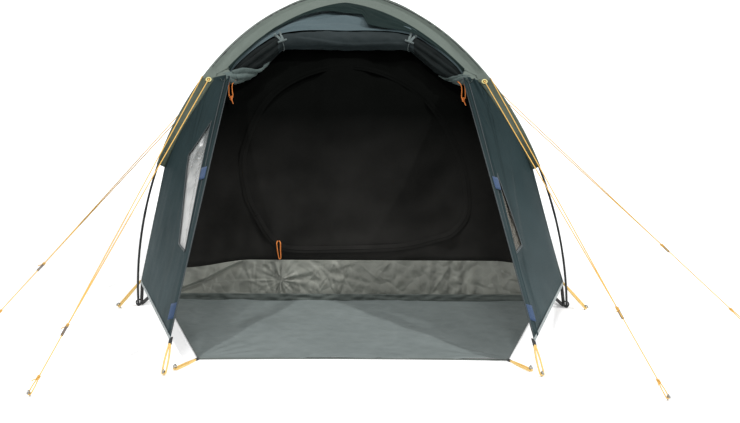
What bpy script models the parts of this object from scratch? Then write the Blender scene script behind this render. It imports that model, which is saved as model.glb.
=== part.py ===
"""A three-person dome tent, pitched, with its porch door rolled up under the brow.

Metres, +Z up. The origin is on the ground under the crossing of the poles, and the porch
faces -Y. Everything is built upright and then leaned a little, as the tent stands.
"""

import math

import bmesh
import bpy
from mathutils import Matrix, Vector

# Poles
HALF_WIDTH = 0.90
HALF_DEPTH = 1.05
POLE_HEIGHT = 1.28
POLE_RADIUS = 0.00475
POLE_STEPS = 40
CROSSING_REACH = 0.16
HALF_DIAGONAL = math.hypot(HALF_WIDTH, HALF_DEPTH)
LEAN_AT_TOP = -0.045

# Cloth, modelled thicker than it is
CLOTH = 0.004
GAP = 0.0003
SLEEVE_WALL = 0.0015
SLEEVE_RADIUS = 0.0075
SLEEVE_SIDES = 8
SLEEVE_FLAT = SLEEVE_RADIUS * math.cos(math.pi / SLEEVE_SIDES)
HEM_HEIGHT = 0.10

# Angles up a pole leg, from 0 at its foot to a quarter turn at the crossing
TOP = math.pi / 2
HEM_ANGLE = math.asin(HEM_HEIGHT / POLE_HEIGHT)
RING_ANGLE = math.radians(46.6)
SLEEVE_FOOT_ANGLE = math.radians(27.0)
SLEEVE_TOP_ANGLE = math.radians(83.5)

# The seam where the brow ends and the door begins, given by the angle of the leg beside it
SEAM_TOP_ANGLE = math.radians(77.4)
SEAM_DROP = math.radians(28.7)
SEAM_DROP_AT = 0.53
SEAM_POWER = 1.335
SEAM_END = 0.515
BROW_COLUMNS = 28

# Porch wings: the door's edge, from its top to the front corner of the hem
DOOR_TOP = Vector((0.50, -0.705, 0.945))
DOOR_FOOT = Vector((0.642, -1.898, 0.10))
WING_DROP = 0.0009
SIDE_DIP = 0.035

# The window's corners on a wing: across from the pole to the door, and up from the hem
WINDOW = {
    (0, 0): (0.72, 0.285),
    (1, 0): (0.89, 0.275),
    (0, 1): (0.47, 0.64),
    (1, 1): (0.79, 0.79),
}
PANE = 0.002
PANE_OFFSET = 0.0016
PANE_LAP = 0.04

# Bedroom
INNER_HALF_WIDTH = 0.86
INNER_HALF_DEPTH = 0.95
INNER_HEIGHT = 1.19
TUB_HEIGHT = 0.175
TUB_FLARE = 0.012
INNER_ANGLE = math.asin(TUB_HEIGHT / INNER_HEIGHT)
INNER_TOP = math.radians(89.6)
THRESHOLD_HEIGHT = 0.031
THRESHOLD_HALF_WIDTH = 0.80
PORCH_FRONT = Vector((0.563, -1.802, 0.0))
PORCH_REAR_HALF_WIDTH = 0.80

# The rolled door: points along its right half, and its radius at each
ROLL = (
    (Vector((0.000, -0.496, 1.078)), 0.042),
    (Vector((0.100, -0.499, 1.080)), 0.042),
    (Vector((0.200, -0.507, 1.079)), 0.040),
    (Vector((0.290, -0.526, 1.070)), 0.034),
    (Vector((0.355, -0.562, 1.030)), 0.038),
    (Vector((0.415, -0.605, 0.985)), 0.040),
    (Vector((0.465, -0.645, 0.948)), 0.034),
    (Vector((0.500, -0.672, 0.925)), 0.016),
)
ROLL_FLAT = 0.93
HEAD_SHORT = 0.003
TIE_ACROSS = 0.29
TIE_RADIUS = 0.0025

# Ground tackle
CORD_RADIUS = 0.0015
LOOP_RADIUS = 0.002
PEG_RADIUS = 0.003
PEG_SHOWS = 0.022
RING_RADIUS = 0.012
RING_WIRE = 0.003
STRAP_WIDTH = 0.020
STRAP_THICK = 0.003
CORNER_PEG = Vector((0.97, 1.085, 0.0))
WING_PEG = Vector((0.657, -1.990, 0.0))
SHEET_PEG = Vector((0.624, -1.926, 0.0))
SLIDER_LENGTH = 0.046
SLIDER_WIDTH = 0.014
SLIDER_THICK = 0.008
KNOT_LENGTH = 0.018
KNOT_WIDTH = 0.010
LOOP_LENGTH = 0.070
LOOP_LIFT = 0.010
EYELET_ANGLE = RING_ANGLE + math.radians(1.1)
EYELET_ASIDE = 0.039
EYELET_CLEAR = 0.0006
PULL_DROP = 0.085
PULL_FRONT = -0.700
INNER_PULL_LEAVES = 0.18
DOOR_PULL_ENDS = (0.486, 0.466)
STRAP_INSET = 0.006
PEG_LIFT = 0.012
SHEET_PEG_LIFT = 0.004
TAB_LENGTH = 0.020
TAB_WIDTH = 0.018
TAB_HOLDS = 0.016
GUYS = {
    "front_left": (Vector((-1.065, -2.220, 0.0)), 0.84),
    "front_right": (Vector((1.037, -2.238, 0.0)), 0.785),
    "rear_left": (Vector((-1.434, -1.347, 0.0)), 0.84),
    "rear_right": (Vector((1.577, -1.268, 0.0)), 0.78),
}

COLOURS = {
    "flysheet_cloth": ((0.155, 0.195, 0.165), 0.75),
    "porch_cloth": ((0.040, 0.058, 0.065), 0.75),
    "window_film": ((0.55, 0.58, 0.58), 0.15),
    "inner_cloth": ((0.006, 0.007, 0.007), 0.9),
    "tub_sheet": ((0.19, 0.20, 0.19), 0.5),
    "porch_sheet": ((0.18, 0.21, 0.20), 0.55),
    "webbing": ((0.012, 0.012, 0.013), 0.8),
    "tie_cloth": ((0.20, 0.23, 0.23), 0.7),
    "pole_glass_fibre": ((0.012, 0.013, 0.015), 0.35),
    "guy_cord": ((0.72, 0.40, 0.05), 0.7),
    "pull_cord": ((0.80, 0.22, 0.02), 0.7),
    "peg_steel": ((0.35, 0.36, 0.36), 0.4),
}


def clear_scene():
    for thing in list(bpy.data.objects):
        bpy.data.objects.remove(thing, do_unlink=True)


def new_collection(name):
    made = bpy.data.collections.new(name)
    bpy.context.scene.collection.children.link(made)
    return made


def material(name):
    found = bpy.data.materials.get(name)
    if found:
        return found
    made = bpy.data.materials.new(name)
    made.use_nodes = True
    shader = made.node_tree.nodes["Principled BSDF"]
    colour, roughness = COLOURS[name]
    shader.inputs["Base Color"].default_value = (*colour, 1.0)
    shader.inputs["Roughness"].default_value = roughness
    shader.inputs["Metallic"].default_value = 1.0 if name == "peg_steel" else 0.0
    return made


def add_object(name, data, finish, collection):
    made = bpy.data.objects.new(name, data)
    data.materials.append(material(finish))
    collection.objects.link(made)
    return made


def sheet(name, columns, rows, place, finish, thickness=CLOTH, outward=1.0, hole=None):
    """A grid laid over place(across, up), both from 0 to 1, and given thickness."""
    grid = bmesh.new()
    bmesh.ops.create_grid(grid, x_segments=columns, y_segments=rows, size=0.5)
    if hole:
        inside = [f for f in grid.faces if hole(f.calc_center_median() + Vector((0.5, 0.5, 0)))]
        bmesh.ops.delete(grid, geom=inside, context="FACES")
    for point in grid.verts:
        point.co = place(point.co.x + 0.5, point.co.y + 0.5)
    bmesh.ops.remove_doubles(grid, verts=grid.verts, dist=1e-6)
    mesh = bpy.data.meshes.new(name)
    grid.to_mesh(mesh)
    grid.free()
    mesh.shade_smooth()
    made = add_object(name, mesh, finish, PARTS)
    solid = made.modifiers.new("cloth thickness", "SOLIDIFY")
    solid.thickness = thickness
    solid.offset = outward
    return made


def tube(name, points, radius, finish, collection, closed=False, widths=None, sides=2):
    """A round line through the points, its ends capped."""
    curve = bpy.data.curves.new(name, "CURVE")
    curve.dimensions = "3D"
    curve.bevel_depth = radius
    curve.bevel_resolution = sides
    curve.use_fill_caps = not closed
    line = curve.splines.new("POLY")
    line.points.add(len(points) - 1)
    for index, point in enumerate(points):
        line.points[index].co = (*point, 1.0)
        line.points[index].radius = widths[index] / radius if widths else 1.0
    line.use_cyclic_u = closed
    return add_object(name, curve, finish, collection)


def as_mesh(made):
    """The curve object as a mesh object of the same name, its caps welded."""
    graph = bpy.context.evaluated_depsgraph_get()
    mesh = bpy.data.meshes.new_from_object(made.evaluated_get(graph))
    welded = bmesh.new()
    welded.from_mesh(mesh)
    bmesh.ops.remove_doubles(welded, verts=welded.verts, dist=1e-6)
    welded.to_mesh(mesh)
    welded.free()
    name, home, place = made.name, made.users_collection[0], made.matrix_world.copy()
    bpy.data.objects.remove(made, do_unlink=True)
    mesh.name = name
    solid = bpy.data.objects.new(name, mesh)
    home.objects.link(solid)
    solid.matrix_world = place
    return solid


def union(base, others):
    """Joins the other pieces to the base, which keeps its name."""
    for other in others:
        other.hide_render = True
        other.display_type = "WIRE"
        modifier = base.modifiers.new(f"join {other.name}", "BOOLEAN")
        modifier.operation = "UNION"
        modifier.object = other
    return base


def block(name, centre, size, along, finish, collection, flat=None):
    """A box whose length lies along a direction, and whose flat side faces another."""
    bpy.ops.mesh.primitive_cube_add(size=1.0)
    made = bpy.context.object
    made.name = name
    made.data.name = name
    length = along.normalized()
    face = (flat or Vector((0, 0, 1))).normalized()
    width = face.cross(length).normalized()
    face = length.cross(width)
    turn = Matrix((length, width, face)).transposed().to_4x4()
    made.data.transform(Matrix.Translation(centre) @ turn @ Matrix.Diagonal((*size, 1.0)))
    made.data.materials.append(material(finish))
    for home in list(made.users_collection):
        home.objects.unlink(made)
    collection.objects.link(made)
    return made


def smooth_through(points, steps):
    """A smooth line of evenly numbered points through the given ones."""
    line = []
    for index in range(len(points) - 1):
        before = points[max(index - 1, 0)]
        start, end = points[index], points[index + 1]
        after = points[min(index + 2, len(points) - 1)]
        for step in range(steps):
            t = step / steps
            line.append(
                0.5 * (2 * start + (end - before) * t
                       + (2 * before - 5 * start + 4 * end - after) * t ** 2
                       + (3 * start - before - 3 * end + after) * t ** 3)
            )
    return line + [points[-1]]


# The shape of the dome: two crossing poles, and cloth drawn flat between their legs


def leg_axis(angle):
    """The pole's axis on the leg in the +X +Y quarter."""
    return Vector((
        HALF_WIDTH * math.cos(angle),
        HALF_DEPTH * math.cos(angle),
        POLE_HEIGHT * math.sin(angle),
    ))


def leg_outward(angle):
    """The direction away from the tent, square to the leg and in its own plane."""
    level = math.cos(angle) / HALF_DIAGONAL
    rise = math.sin(angle) / POLE_HEIGHT
    return Vector((
        level * HALF_WIDTH / HALF_DIAGONAL,
        level * HALF_DEPTH / HALF_DIAGONAL,
        rise,
    )).normalized()


def fly_corner(angle):
    """Where the cloth turns the corner under a leg, just clear of the sleeve."""
    outward = leg_outward(angle)
    side = Vector((math.cos(angle) / HALF_WIDTH, 0, math.sin(angle) / POLE_HEIGHT))
    inset = (SLEEVE_RADIUS + CLOTH + 2 * GAP) / outward.dot(side.normalized())
    return leg_axis(angle) - inset * outward


def inner_corner(angle):
    return Vector((
        INNER_HALF_WIDTH * math.cos(angle),
        INNER_HALF_DEPTH * math.cos(angle),
        INNER_HEIGHT * math.sin(angle),
    ))


def dome_wall(direction, corner, low, high, dip=0.0, gap=GAP):
    """place() for one of the four walls between two legs, front, rear, left or right."""

    def place(across, up):
        angle = low + (high - low) * up
        point = corner(angle)
        along = 2 * across - 1
        sag = dip * math.sin(math.pi * up) * (1 - along ** 2)
        if direction == "front":
            return Vector((point.x * along, -point.y - gap + sag, point.z))
        if direction == "rear":
            return Vector((-point.x * along, point.y + gap - sag, point.z))
        if direction == "left":
            return Vector((-point.x - gap + sag, -point.y * along, point.z))
        return Vector((point.x + gap - sag, point.y * along, point.z))

    return place


def seam_angle(across):
    return SEAM_TOP_ANGLE - SEAM_DROP * (abs(across) / SEAM_DROP_AT) ** SEAM_POWER


def brow_point(across, angle):
    """A point on the cloth between the two front legs."""
    point = fly_corner(angle)
    return Vector((across, -point.y - GAP, point.z))


def brow(across, up):
    """place() for the brow: from the seam, up is 0, to the legs, up is 1."""
    side = -1 if across < 0.5 else 1
    inward = 1 - abs(2 * across - 1)
    seam_at = SEAM_END * (1 - inward)
    leg_angle = RING_ANGLE + (TOP - RING_ANGLE) * inward
    leg_at = fly_corner(leg_angle).x
    angle = seam_angle(seam_at) * (1 - up) + leg_angle * up
    return brow_point(side * (seam_at * (1 - up) + leg_at * up), angle)


def wing_point(across, up):
    """On the left wing: across is 0 at the pole and 1 at the door, up is 0 at the hem."""
    height = HEM_HEIGHT + (POLE_HEIGHT * math.sin(RING_ANGLE) - HEM_HEIGHT) * up
    pole_side = fly_corner(math.asin(height / POLE_HEIGHT))
    door_side = DOOR_FOOT.lerp(DOOR_TOP, up)
    pole_side = Vector((-pole_side.x, -pole_side.y - GAP, pole_side.z - WING_DROP))
    door_side = Vector((-door_side.x, door_side.y, door_side.z - WING_DROP))
    return pole_side.lerp(door_side, across)


def around_window(u, v):
    """Spreads a three by three pattern so that its middle is the window."""

    def edge(t):
        return 0 if t <= 1 / 3 else 1 if t >= 2 / 3 else t * 3 - 1

    def corner(i, j):
        if i in (0, 3) and j in (0, 3):
            return Vector((i / 3, j / 3))
        if i in (0, 3):
            return Vector((i / 3, WINDOW[(i // 3, j - 1)][1]))
        if j in (0, 3):
            return Vector((WINDOW[(i - 1, j // 3)][0], j / 3))
        return Vector(WINDOW[(i - 1, j - 1)])

    i, j = min(int(u * 3 + 1e-6), 2), min(int(v * 3 + 1e-6), 2)
    s, t = u * 3 - i, v * 3 - j
    low = corner(i, j).lerp(corner(i + 1, j), s)
    high = corner(i, j + 1).lerp(corner(i + 1, j + 1), s)
    return low.lerp(high, t)


def mirrored(place, side):
    """The same cloth for the right side, laid the other way round so that it faces out."""
    if side < 0:
        return place

    def place_right(across, up):
        point = place(1 - across, up)
        return Vector((-point.x, point.y, point.z))

    return place_right


# Poles and sleeves


def crossing_hump(point):
    """How far the second pole rises to pass over the first."""
    reach = math.hypot(point.x, point.y) / CROSSING_REACH
    return (2 * POLE_RADIUS + 2 * GAP) * math.exp(-reach ** 2)


def build_poles():
    for name, turn in (("pole_left_to_right", 1), ("pole_right_to_left", -1)):
        points = []
        for step in range(POLE_STEPS + 1):
            point = leg_axis(math.pi * step / POLE_STEPS)
            point.y *= turn
            if turn < 0:
                point.z += crossing_hump(point)
            points.append(point)
        tube(name, points, POLE_RADIUS, "pole_glass_fibre", PARTS, sides=1)


def build_sleeve(name, side_x, side_y):
    """A cloth tube round the pole, open at both ends."""
    steps = 22

    def place(along, around):
        angle = SLEEVE_FOOT_ANGLE + (SLEEVE_TOP_ANGLE - SLEEVE_FOOT_ANGLE) * along
        centre = leg_axis(angle)
        outward = leg_outward(angle)
        level = Vector((-HALF_DEPTH, HALF_WIDTH, 0)).normalized()
        turn = 2 * math.pi * around
        radius = SLEEVE_RADIUS - SLEEVE_WALL
        point = centre + radius * (math.cos(turn) * outward + math.sin(turn) * level)
        point = Vector((side_x * point.x, side_y * point.y, point.z))
        if side_x * side_y < 0:
            point.z += crossing_hump(point)
        return point

    cloth = bmesh.new()
    bmesh.ops.create_grid(cloth, x_segments=steps, y_segments=SLEEVE_SIDES, size=0.5)
    for point in cloth.verts:
        point.co = place(point.co.x + 0.5, point.co.y + 0.5)
    bmesh.ops.remove_doubles(cloth, verts=cloth.verts, dist=1e-6)
    if len(cloth.verts) != (steps + 1) * SLEEVE_SIDES:
        raise ValueError(f"{name} did not close round the pole")
    if side_x * side_y > 0:
        bmesh.ops.reverse_faces(cloth, faces=cloth.faces)
    mesh = bpy.data.meshes.new(name)
    cloth.to_mesh(mesh)
    cloth.free()
    mesh.shade_smooth()
    made = add_object(name, mesh, "flysheet_cloth", PARTS)
    solid = made.modifiers.new("cloth thickness", "SOLIDIFY")
    solid.thickness = SLEEVE_WALL
    solid.offset = 1.0
    return made


# Flysheet


def build_flysheet():
    sheet("brow", BROW_COLUMNS, 4, brow, "flysheet_cloth")
    for direction, columns in (("left", 8), ("right", 8), ("rear", 8)):
        wall = dome_wall(direction, fly_corner, HEM_ANGLE, TOP, dip=SIDE_DIP)
        sheet(f"flysheet_{direction}", columns, 14, wall, "flysheet_cloth")


def in_window(point):
    return 1 / 3 < point.x < 2 / 3 and 1 / 3 < point.y < 2 / 3


def build_wings():
    def wing(u, v):
        return wing_point(*around_window(u, v))

    def pane(u, v):
        low, high = 1 / 3 - PANE_LAP, 2 / 3 + PANE_LAP
        point = wing(low + (high - low) * u, low + (high - low) * v)
        across = wing_point(1, 0.5) - wing_point(0, 0.5)
        rise = wing_point(0.7, 1) - wing_point(0.7, 0)
        return point - PANE_OFFSET * across.cross(rise).normalized()

    for side, name in ((-1, "left"), (1, "right")):
        sheet(f"porch_wing_{name}", 12, 12, mirrored(wing, side), "porch_cloth", hole=in_window)
        sheet(
            f"window_{name}", 6, 6, mirrored(pane, side), "window_film",
            thickness=PANE, outward=-1.0,
        )


# The door, rolled up and tied under the brow


def roll_line():
    """Centres and radii along the whole roll, from its left end to its right."""
    half = [(Vector((-p.x, p.y, p.z)), r) for p, r in reversed(ROLL)] + list(ROLL[1:])
    centres = smooth_through([p for p, _ in half], 2)
    radii = smooth_through([Vector((r, 0, 0)) for _, r in half], 2)
    return centres, [r.x for r in radii]


def roll_at(across):
    """The roll's centre, radius, upper side and front side, at a distance across the tent."""
    centres, radii = roll_line()
    for index in range(len(centres) - 1):
        start, end = centres[index], centres[index + 1]
        if start.x <= across <= end.x:
            t = (across - start.x) / (end.x - start.x)
            run = (end - start).normalized()
            upper = (Vector((0, 0, 1)) - run.z * run).normalized()
            radius = radii[index] + (radii[index + 1] - radii[index]) * t
            return start.lerp(end, t), radius, upper, run.cross(upper)
    raise ValueError("that is past the end of the rolled door")


def build_door():
    centres, radii = roll_line()
    tube("rolled_door", centres, max(radii), "porch_cloth", PARTS, widths=radii, sides=2)

    roll_end = ROLL[-1][0].x - HEAD_SHORT

    def head(across, up):
        side = -1 if across < 0.5 else 1
        seam_at = side * SEAM_END * abs(2 * across - 1)
        centre, radius, upper, _ = roll_at(seam_at * roll_end / SEAM_END)
        low = centre + upper * (radius + CLOTH + 3 * GAP)
        high = brow_point(seam_at, seam_angle(seam_at)) + Vector((0, -2 * GAP, -2 * GAP))
        return low.lerp(high, up)

    sheet("door_head", BROW_COLUMNS, 3, head, "porch_cloth", outward=-1.0)
    for side, name in ((-1, "left"), (1, "right")):
        centre, radius, upper, front = roll_at(side * TIE_ACROSS)
        reach = radius + TIE_RADIUS + 10 * GAP
        points = []
        for step in range(11):
            turn = math.radians(35 + 24 * step)
            points.append(centre + reach * (math.cos(turn) * upper + math.sin(turn) * front))
        tube(f"door_tie_{name}", points, TIE_RADIUS, "tie_cloth", PARTS, sides=1)


# Bedroom


def build_bedroom():
    for direction in ("front", "rear", "left", "right"):
        wall = dome_wall(direction, inner_corner, INNER_ANGLE, INNER_TOP, gap=GAP)

        def raised(across, up, wall=wall):
            return wall(across, up) + Vector((0, 0, GAP))

        sheet(f"inner_{direction}_wall", 6, 10, raised, "inner_cloth")
    rim = inner_corner(INNER_ANGLE)
    tub = bmesh.new()
    bmesh.ops.create_cube(tub, size=1.0)
    for point in tub.verts:
        flare = 0 if point.co.z > 0 else TUB_FLARE
        point.co.x = math.copysign(rim.x + CLOTH + flare, point.co.x)
        point.co.y = math.copysign(rim.y + CLOTH + flare, point.co.y)
        point.co.z = TUB_HEIGHT if point.co.z > 0 else 0
    lid = [f for f in tub.faces if f.normal.z > 0.5]
    bmesh.ops.delete(tub, geom=lid, context="FACES_ONLY")
    mesh = bpy.data.meshes.new("groundsheet_tub")
    tub.to_mesh(mesh)
    tub.free()
    made = add_object("groundsheet_tub", mesh, "tub_sheet", PARTS)
    solid = made.modifiers.new("sheet thickness", "SOLIDIFY")
    solid.thickness = CLOTH
    solid.offset = -1.0
    front = -(rim.y + CLOTH + TUB_FLARE) - GAP
    block(
        "threshold_strip", Vector((0, front - CLOTH / 2, THRESHOLD_HEIGHT / 2)),
        (2 * THRESHOLD_HALF_WIDTH, CLOTH, THRESHOLD_HEIGHT), Vector((1, 0, 0)),
        "inner_cloth", PARTS,
    )
    rear = front - CLOTH - GAP

    def porch(across, up):
        half = PORCH_FRONT.x + (PORCH_REAR_HALF_WIDTH - PORCH_FRONT.x) * up
        depth = PORCH_FRONT.y + (rear - PORCH_FRONT.y) * up
        return Vector(((2 * across - 1) * half, depth, 0))

    sheet("porch_groundsheet", 1, 1, porch, "porch_sheet")


# Ground tackle


def peg_points(place, away):
    """A wire peg: its shank comes out of the ground and hooks over away from the tent."""
    level = Vector((away.x, away.y, 0)).normalized()
    top = place + Vector((0, 0, PEG_SHOWS))
    return [
        place.copy(),
        top,
        top + 0.005 * level + Vector((0, 0, 0.005)),
        top + 0.012 * level + Vector((0, 0, 0.004)),
        top + 0.015 * level - Vector((0, 0, 0.004)),
    ]


def loop_points(start, peg, spread):
    """A flat loop from a tab to round the far side of a peg."""
    run = (peg - start).normalized()
    level = Vector((-run.y, run.x, 0)).normalized()
    end = peg + 1.15 * spread * run
    return [
        start + spread * 0.5 * level,
        peg + spread * level,
        end + spread * 0.5 * level,
        end - spread * 0.5 * level,
        peg - spread * level,
        start - spread * 0.5 * level,
    ]


def pegged_loop(base, start, peg, lift):
    """Joins a loop of elastic, and the peg that it holds to, to a tab or strap."""
    hold = peg + Vector((0, 0, lift))
    away = peg - start
    spread = PEG_RADIUS + LOOP_RADIUS * 0.3
    name = base.name
    line = loop_points(start, hold, spread)
    loop = tube(f"{name}_loop", line, LOOP_RADIUS, "guy_cord", HELPERS, closed=True, sides=1)
    wire = tube(f"{name}_peg", peg_points(peg, away), PEG_RADIUS, "peg_steel", HELPERS, sides=1)
    return union(base, [as_mesh(loop), as_mesh(wire)])


def build_corner(name, side_x, side_y):
    """The strap and ring at a pole's foot, with the loop that pegs the corner down."""
    turn = Vector((side_x, side_y, 1))
    foot = leg_axis(0) * turn
    hem = fly_corner(HEM_ANGLE)
    hem = Vector((side_x * hem.x, side_y * hem.y, hem.z - GAP))
    outward = leg_outward(0) * turn
    shift = RING_RADIUS - RING_WIRE - POLE_RADIUS - GAP
    ring_centre = foot - shift * outward + Vector((0, 0, RING_WIRE))
    bpy.ops.mesh.primitive_torus_add(
        major_radius=RING_RADIUS, minor_radius=RING_WIRE,
        major_segments=16, minor_segments=8, location=ring_centre,
    )
    ring = bpy.context.object
    ring.name = f"{name}_ring"
    for home in list(ring.users_collection):
        home.objects.unlink(ring)
    HELPERS.objects.link(ring)
    low = foot - (shift + RING_RADIUS) * outward + Vector((0, 0, RING_WIRE))
    top = hem - STRAP_INSET * outward
    base = block(
        name, (low + top) / 2, ((top - low).length, STRAP_WIDTH, STRAP_THICK),
        top - low, "webbing", PARTS, flat=outward,
    )
    peg = CORNER_PEG * turn
    start = top + Vector((side_x * STRAP_WIDTH * 0.3, 0, -0.012))
    rim = inner_corner(INNER_ANGLE)
    tub = Vector((rim.x + CLOTH + TUB_FLARE, rim.y + CLOTH + TUB_FLARE, 0)) * turn
    near = tub + 2 * GAP * outward + Vector((0, 0, STRAP_THICK / 2))
    far = ring_centre - (RING_RADIUS - RING_WIRE / 2) * outward
    far.z = near.z
    floor_strap = block(
        f"{name}_floor_strap", (near + far) / 2, ((far - near).length, STRAP_WIDTH, STRAP_THICK),
        far - near, "webbing", HELPERS,
    )
    union(base, [ring, floor_strap])
    return pegged_loop(base, start, peg, PEG_LIFT)


def build_tab_loop(name, corner, peg, out, lift, normal):
    """A webbing tab on a corner of the cloth, with the loop that pegs it down."""
    size = (TAB_LENGTH, TAB_WIDTH, STRAP_THICK)
    centre = corner + TAB_LENGTH / 2 * out
    base = block(name, centre, size, out, "webbing", PARTS, flat=normal)
    return pegged_loop(base, corner + TAB_HOLDS * out, peg, lift)


def build_pegging():
    corners = {
        "front_left": (-1, -1), "front_right": (1, -1),
        "rear_left": (-1, 1), "rear_right": (1, 1),
    }
    for name, sides in corners.items():
        build_corner(f"corner_strap_{name}", *sides)
    for side, name in ((-1, "left"), (1, "right")):
        turn = Vector((side, 1, 1))
        hem = wing_point(1, 0)
        hem = Vector((-side * hem.x, hem.y, hem.z))
        peg = WING_PEG * turn
        out = (peg + Vector((0, 0, PEG_LIFT)) - hem).normalized()
        start = hem + 2 * GAP * out
        face = Vector((side, -0.3, 0))
        build_tab_loop(f"wing_peg_loop_{name}", start, peg, out, PEG_LIFT, face)
        corner = PORCH_FRONT * turn + Vector((0, 0, STRAP_THICK / 2))
        peg = SHEET_PEG * turn
        level = Vector((peg.x - corner.x, peg.y - corner.y, 0)).normalized()
        start = corner + 2 * GAP * level
        face = Vector((0, 0, 1))
        build_tab_loop(f"sheet_peg_loop_{name}", start, peg, level, SHEET_PEG_LIFT, face)


def guy_ends(side_x, side_y):
    """Where a guy's two cords leave the tent: at an eyelet beside the pole, and at the sleeve."""
    turn = Vector((side_x, side_y, 1))
    corner = fly_corner(EYELET_ANGLE)
    inward = leg_axis(EYELET_ANGLE) - Vector((EYELET_ASIDE, EYELET_ASIDE, 0))
    level, rise = math.cos(EYELET_ANGLE), math.sin(EYELET_ANGLE)
    if side_y < 0:
        eyelet = Vector((side_x * inward.x, -corner.y - GAP, corner.z))
        face = Vector((0, -POLE_HEIGHT * level, HALF_DEPTH * rise)).normalized()
    else:
        up = (EYELET_ANGLE - HEM_ANGLE) / (TOP - HEM_ANGLE)
        across = (1 - inward.y / corner.y) / 2
        side = "left" if side_x < 0 else "right"
        wall = dome_wall(side, fly_corner, HEM_ANGLE, TOP, dip=SIDE_DIP)
        eyelet = wall(across if side_x < 0 else 1 - across, up)
        face = Vector((side_x * POLE_HEIGHT * level, 0, HALF_WIDTH * rise)).normalized()
    away = leg_outward(RING_ANGLE) * turn
    if side_y > 0:
        away += Vector((HALF_DEPTH, -HALF_WIDTH, 0)).normalized() * turn
    return (
        eyelet + (CLOTH + CORD_RADIUS + EYELET_CLEAR) * face,
        leg_axis(RING_ANGLE) * turn + (SLEEVE_FLAT + CORD_RADIUS + 2 * GAP) * away.normalized(),
    )


def build_guys():
    """Each guy has two cords from the tent to a slider, and one on to a loop round its peg."""
    for name, (peg, slider_at) in GUYS.items():
        ends = guy_ends(-1 if name.endswith("left") else 1, -1 if name.startswith("front") else 1)
        middle = (ends[0] + ends[1]) / 2
        hold = peg + Vector((0, 0, LOOP_LIFT))
        run = (hold - middle).normalized()
        across = (ends[0] - ends[1]).normalized()
        across = (across - across.dot(run) * run).normalized()
        slider = middle.lerp(hold, slider_at)
        knot = hold - LOOP_LENGTH * run
        top = slider - SLIDER_LENGTH / 4 * run
        base = f"guy_line_{name}"
        cord = as_mesh(tube(base, [ends[0], top], CORD_RADIUS, "guy_cord", PARTS, sides=1))
        joined = [
            as_mesh(tube(f"{base}_{part}", line, CORD_RADIUS, "guy_cord", HELPERS, closed, sides=1))
            for part, line, closed in (
                ("second_cord", [ends[1], top], False),
                ("lower_cord", [slider, knot + 2 * CORD_RADIUS * run], False),
                ("loop", loop_points(knot, hold, 1.2 * (PEG_RADIUS + CORD_RADIUS)), True),
            )
        ]
        flat = across.cross(run)
        for part, centre, size in (
            ("slider", slider, (SLIDER_LENGTH, SLIDER_WIDTH, SLIDER_THICK)),
            ("knot", knot, (KNOT_LENGTH, KNOT_WIDTH, KNOT_WIDTH)),
        ):
            joined.append(block(f"{base}_{part}", centre, size, run, "webbing", HELPERS, flat))
        union(cord, joined)
        wire = peg_points(peg, peg - middle)
        tube(f"guy_peg_{name}", wire, PEG_RADIUS, "peg_steel", PARTS, sides=1)


# Zip pulls


def build_pulls():
    """Loops of cord that hang from the zips."""
    for side, name in ((-1, "left"), (1, "right")):
        ends = []
        for across in DOOR_PULL_ENDS:
            centre, radius, upper, front = roll_at(across)
            below = (0.9 * front - 0.44 * upper).normalized()
            ends.append(centre + below * (radius * ROLL_FLAT + CORD_RADIUS))
        line = [ends[0]]
        for across, drop in ((0.489, 0.2), (0.492, 0.5), (0.488, 0.8), (0.483, 1.0),
                             (0.479, 0.8), (0.481, 0.5), (0.473, 0.2)):
            line.append(Vector((across, PULL_FRONT, ends[0].z - PULL_DROP * drop)))
        line.append(ends[1])
        line = [Vector((side * p.x, p.y, p.z)) for p in smooth_through(line, 3)]
        tube(f"door_zip_pull_{name}", line, CORD_RADIUS, "pull_cord", PARTS, sides=1)
    line = []
    for across, height in ((-0.312, 0.243), (-0.322, 0.215), (-0.316, 0.190), (-0.307, 0.178),
                           (-0.298, 0.190), (-0.294, 0.215), (-0.302, 0.243)):
        wall = inner_corner(math.asin(min(height, INNER_PULL_LEAVES) / INNER_HEIGHT)).y
        line.append(Vector((across, -wall - CLOTH - CORD_RADIUS - 3 * GAP, height)))
    top = inner_corner(math.asin(line[0].z / INNER_HEIGHT)).y + CLOTH + CORD_RADIUS + 2 * GAP
    line[0].y = line[-1].y = -top
    tube("inner_zip_pull", smooth_through(line, 3), CORD_RADIUS, "pull_cord", PARTS, sides=1)


def lean_everything():
    """The poles stand a little to the left at the top, and all that they carry with them."""
    lean = Matrix.Identity(4)
    lean[0][2] = LEAN_AT_TOP / POLE_HEIGHT
    bpy.context.view_layer.update()
    for thing in bpy.data.objects:
        place = thing.matrix_world
        thing.data.transform(place.inverted() @ lean @ place)


clear_scene()
PARTS = new_collection("camping_tent")
HELPERS = new_collection("joined_pieces")
HELPERS.hide_render = True
build_poles()
for at_front, side_y in (("front", -1), ("rear", 1)):
    for at_side, side_x in (("left", -1), ("right", 1)):
        build_sleeve(f"pole_sleeve_{at_front}_{at_side}", side_x, side_y)
build_flysheet()
build_wings()
build_door()
build_bedroom()
build_pegging()
build_guys()
build_pulls()
lean_everything()
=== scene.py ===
"""A three-person dome tent, pitched, with its porch door rolled up under the brow.

The cloth, film, webbing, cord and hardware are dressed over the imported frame, in metres.
The origin is on the ground under the crossing of the poles, and the porch faces -Y.
Shapes are laid out upright, and lean_over() then leans them a little, as the tent stands.
"""

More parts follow.
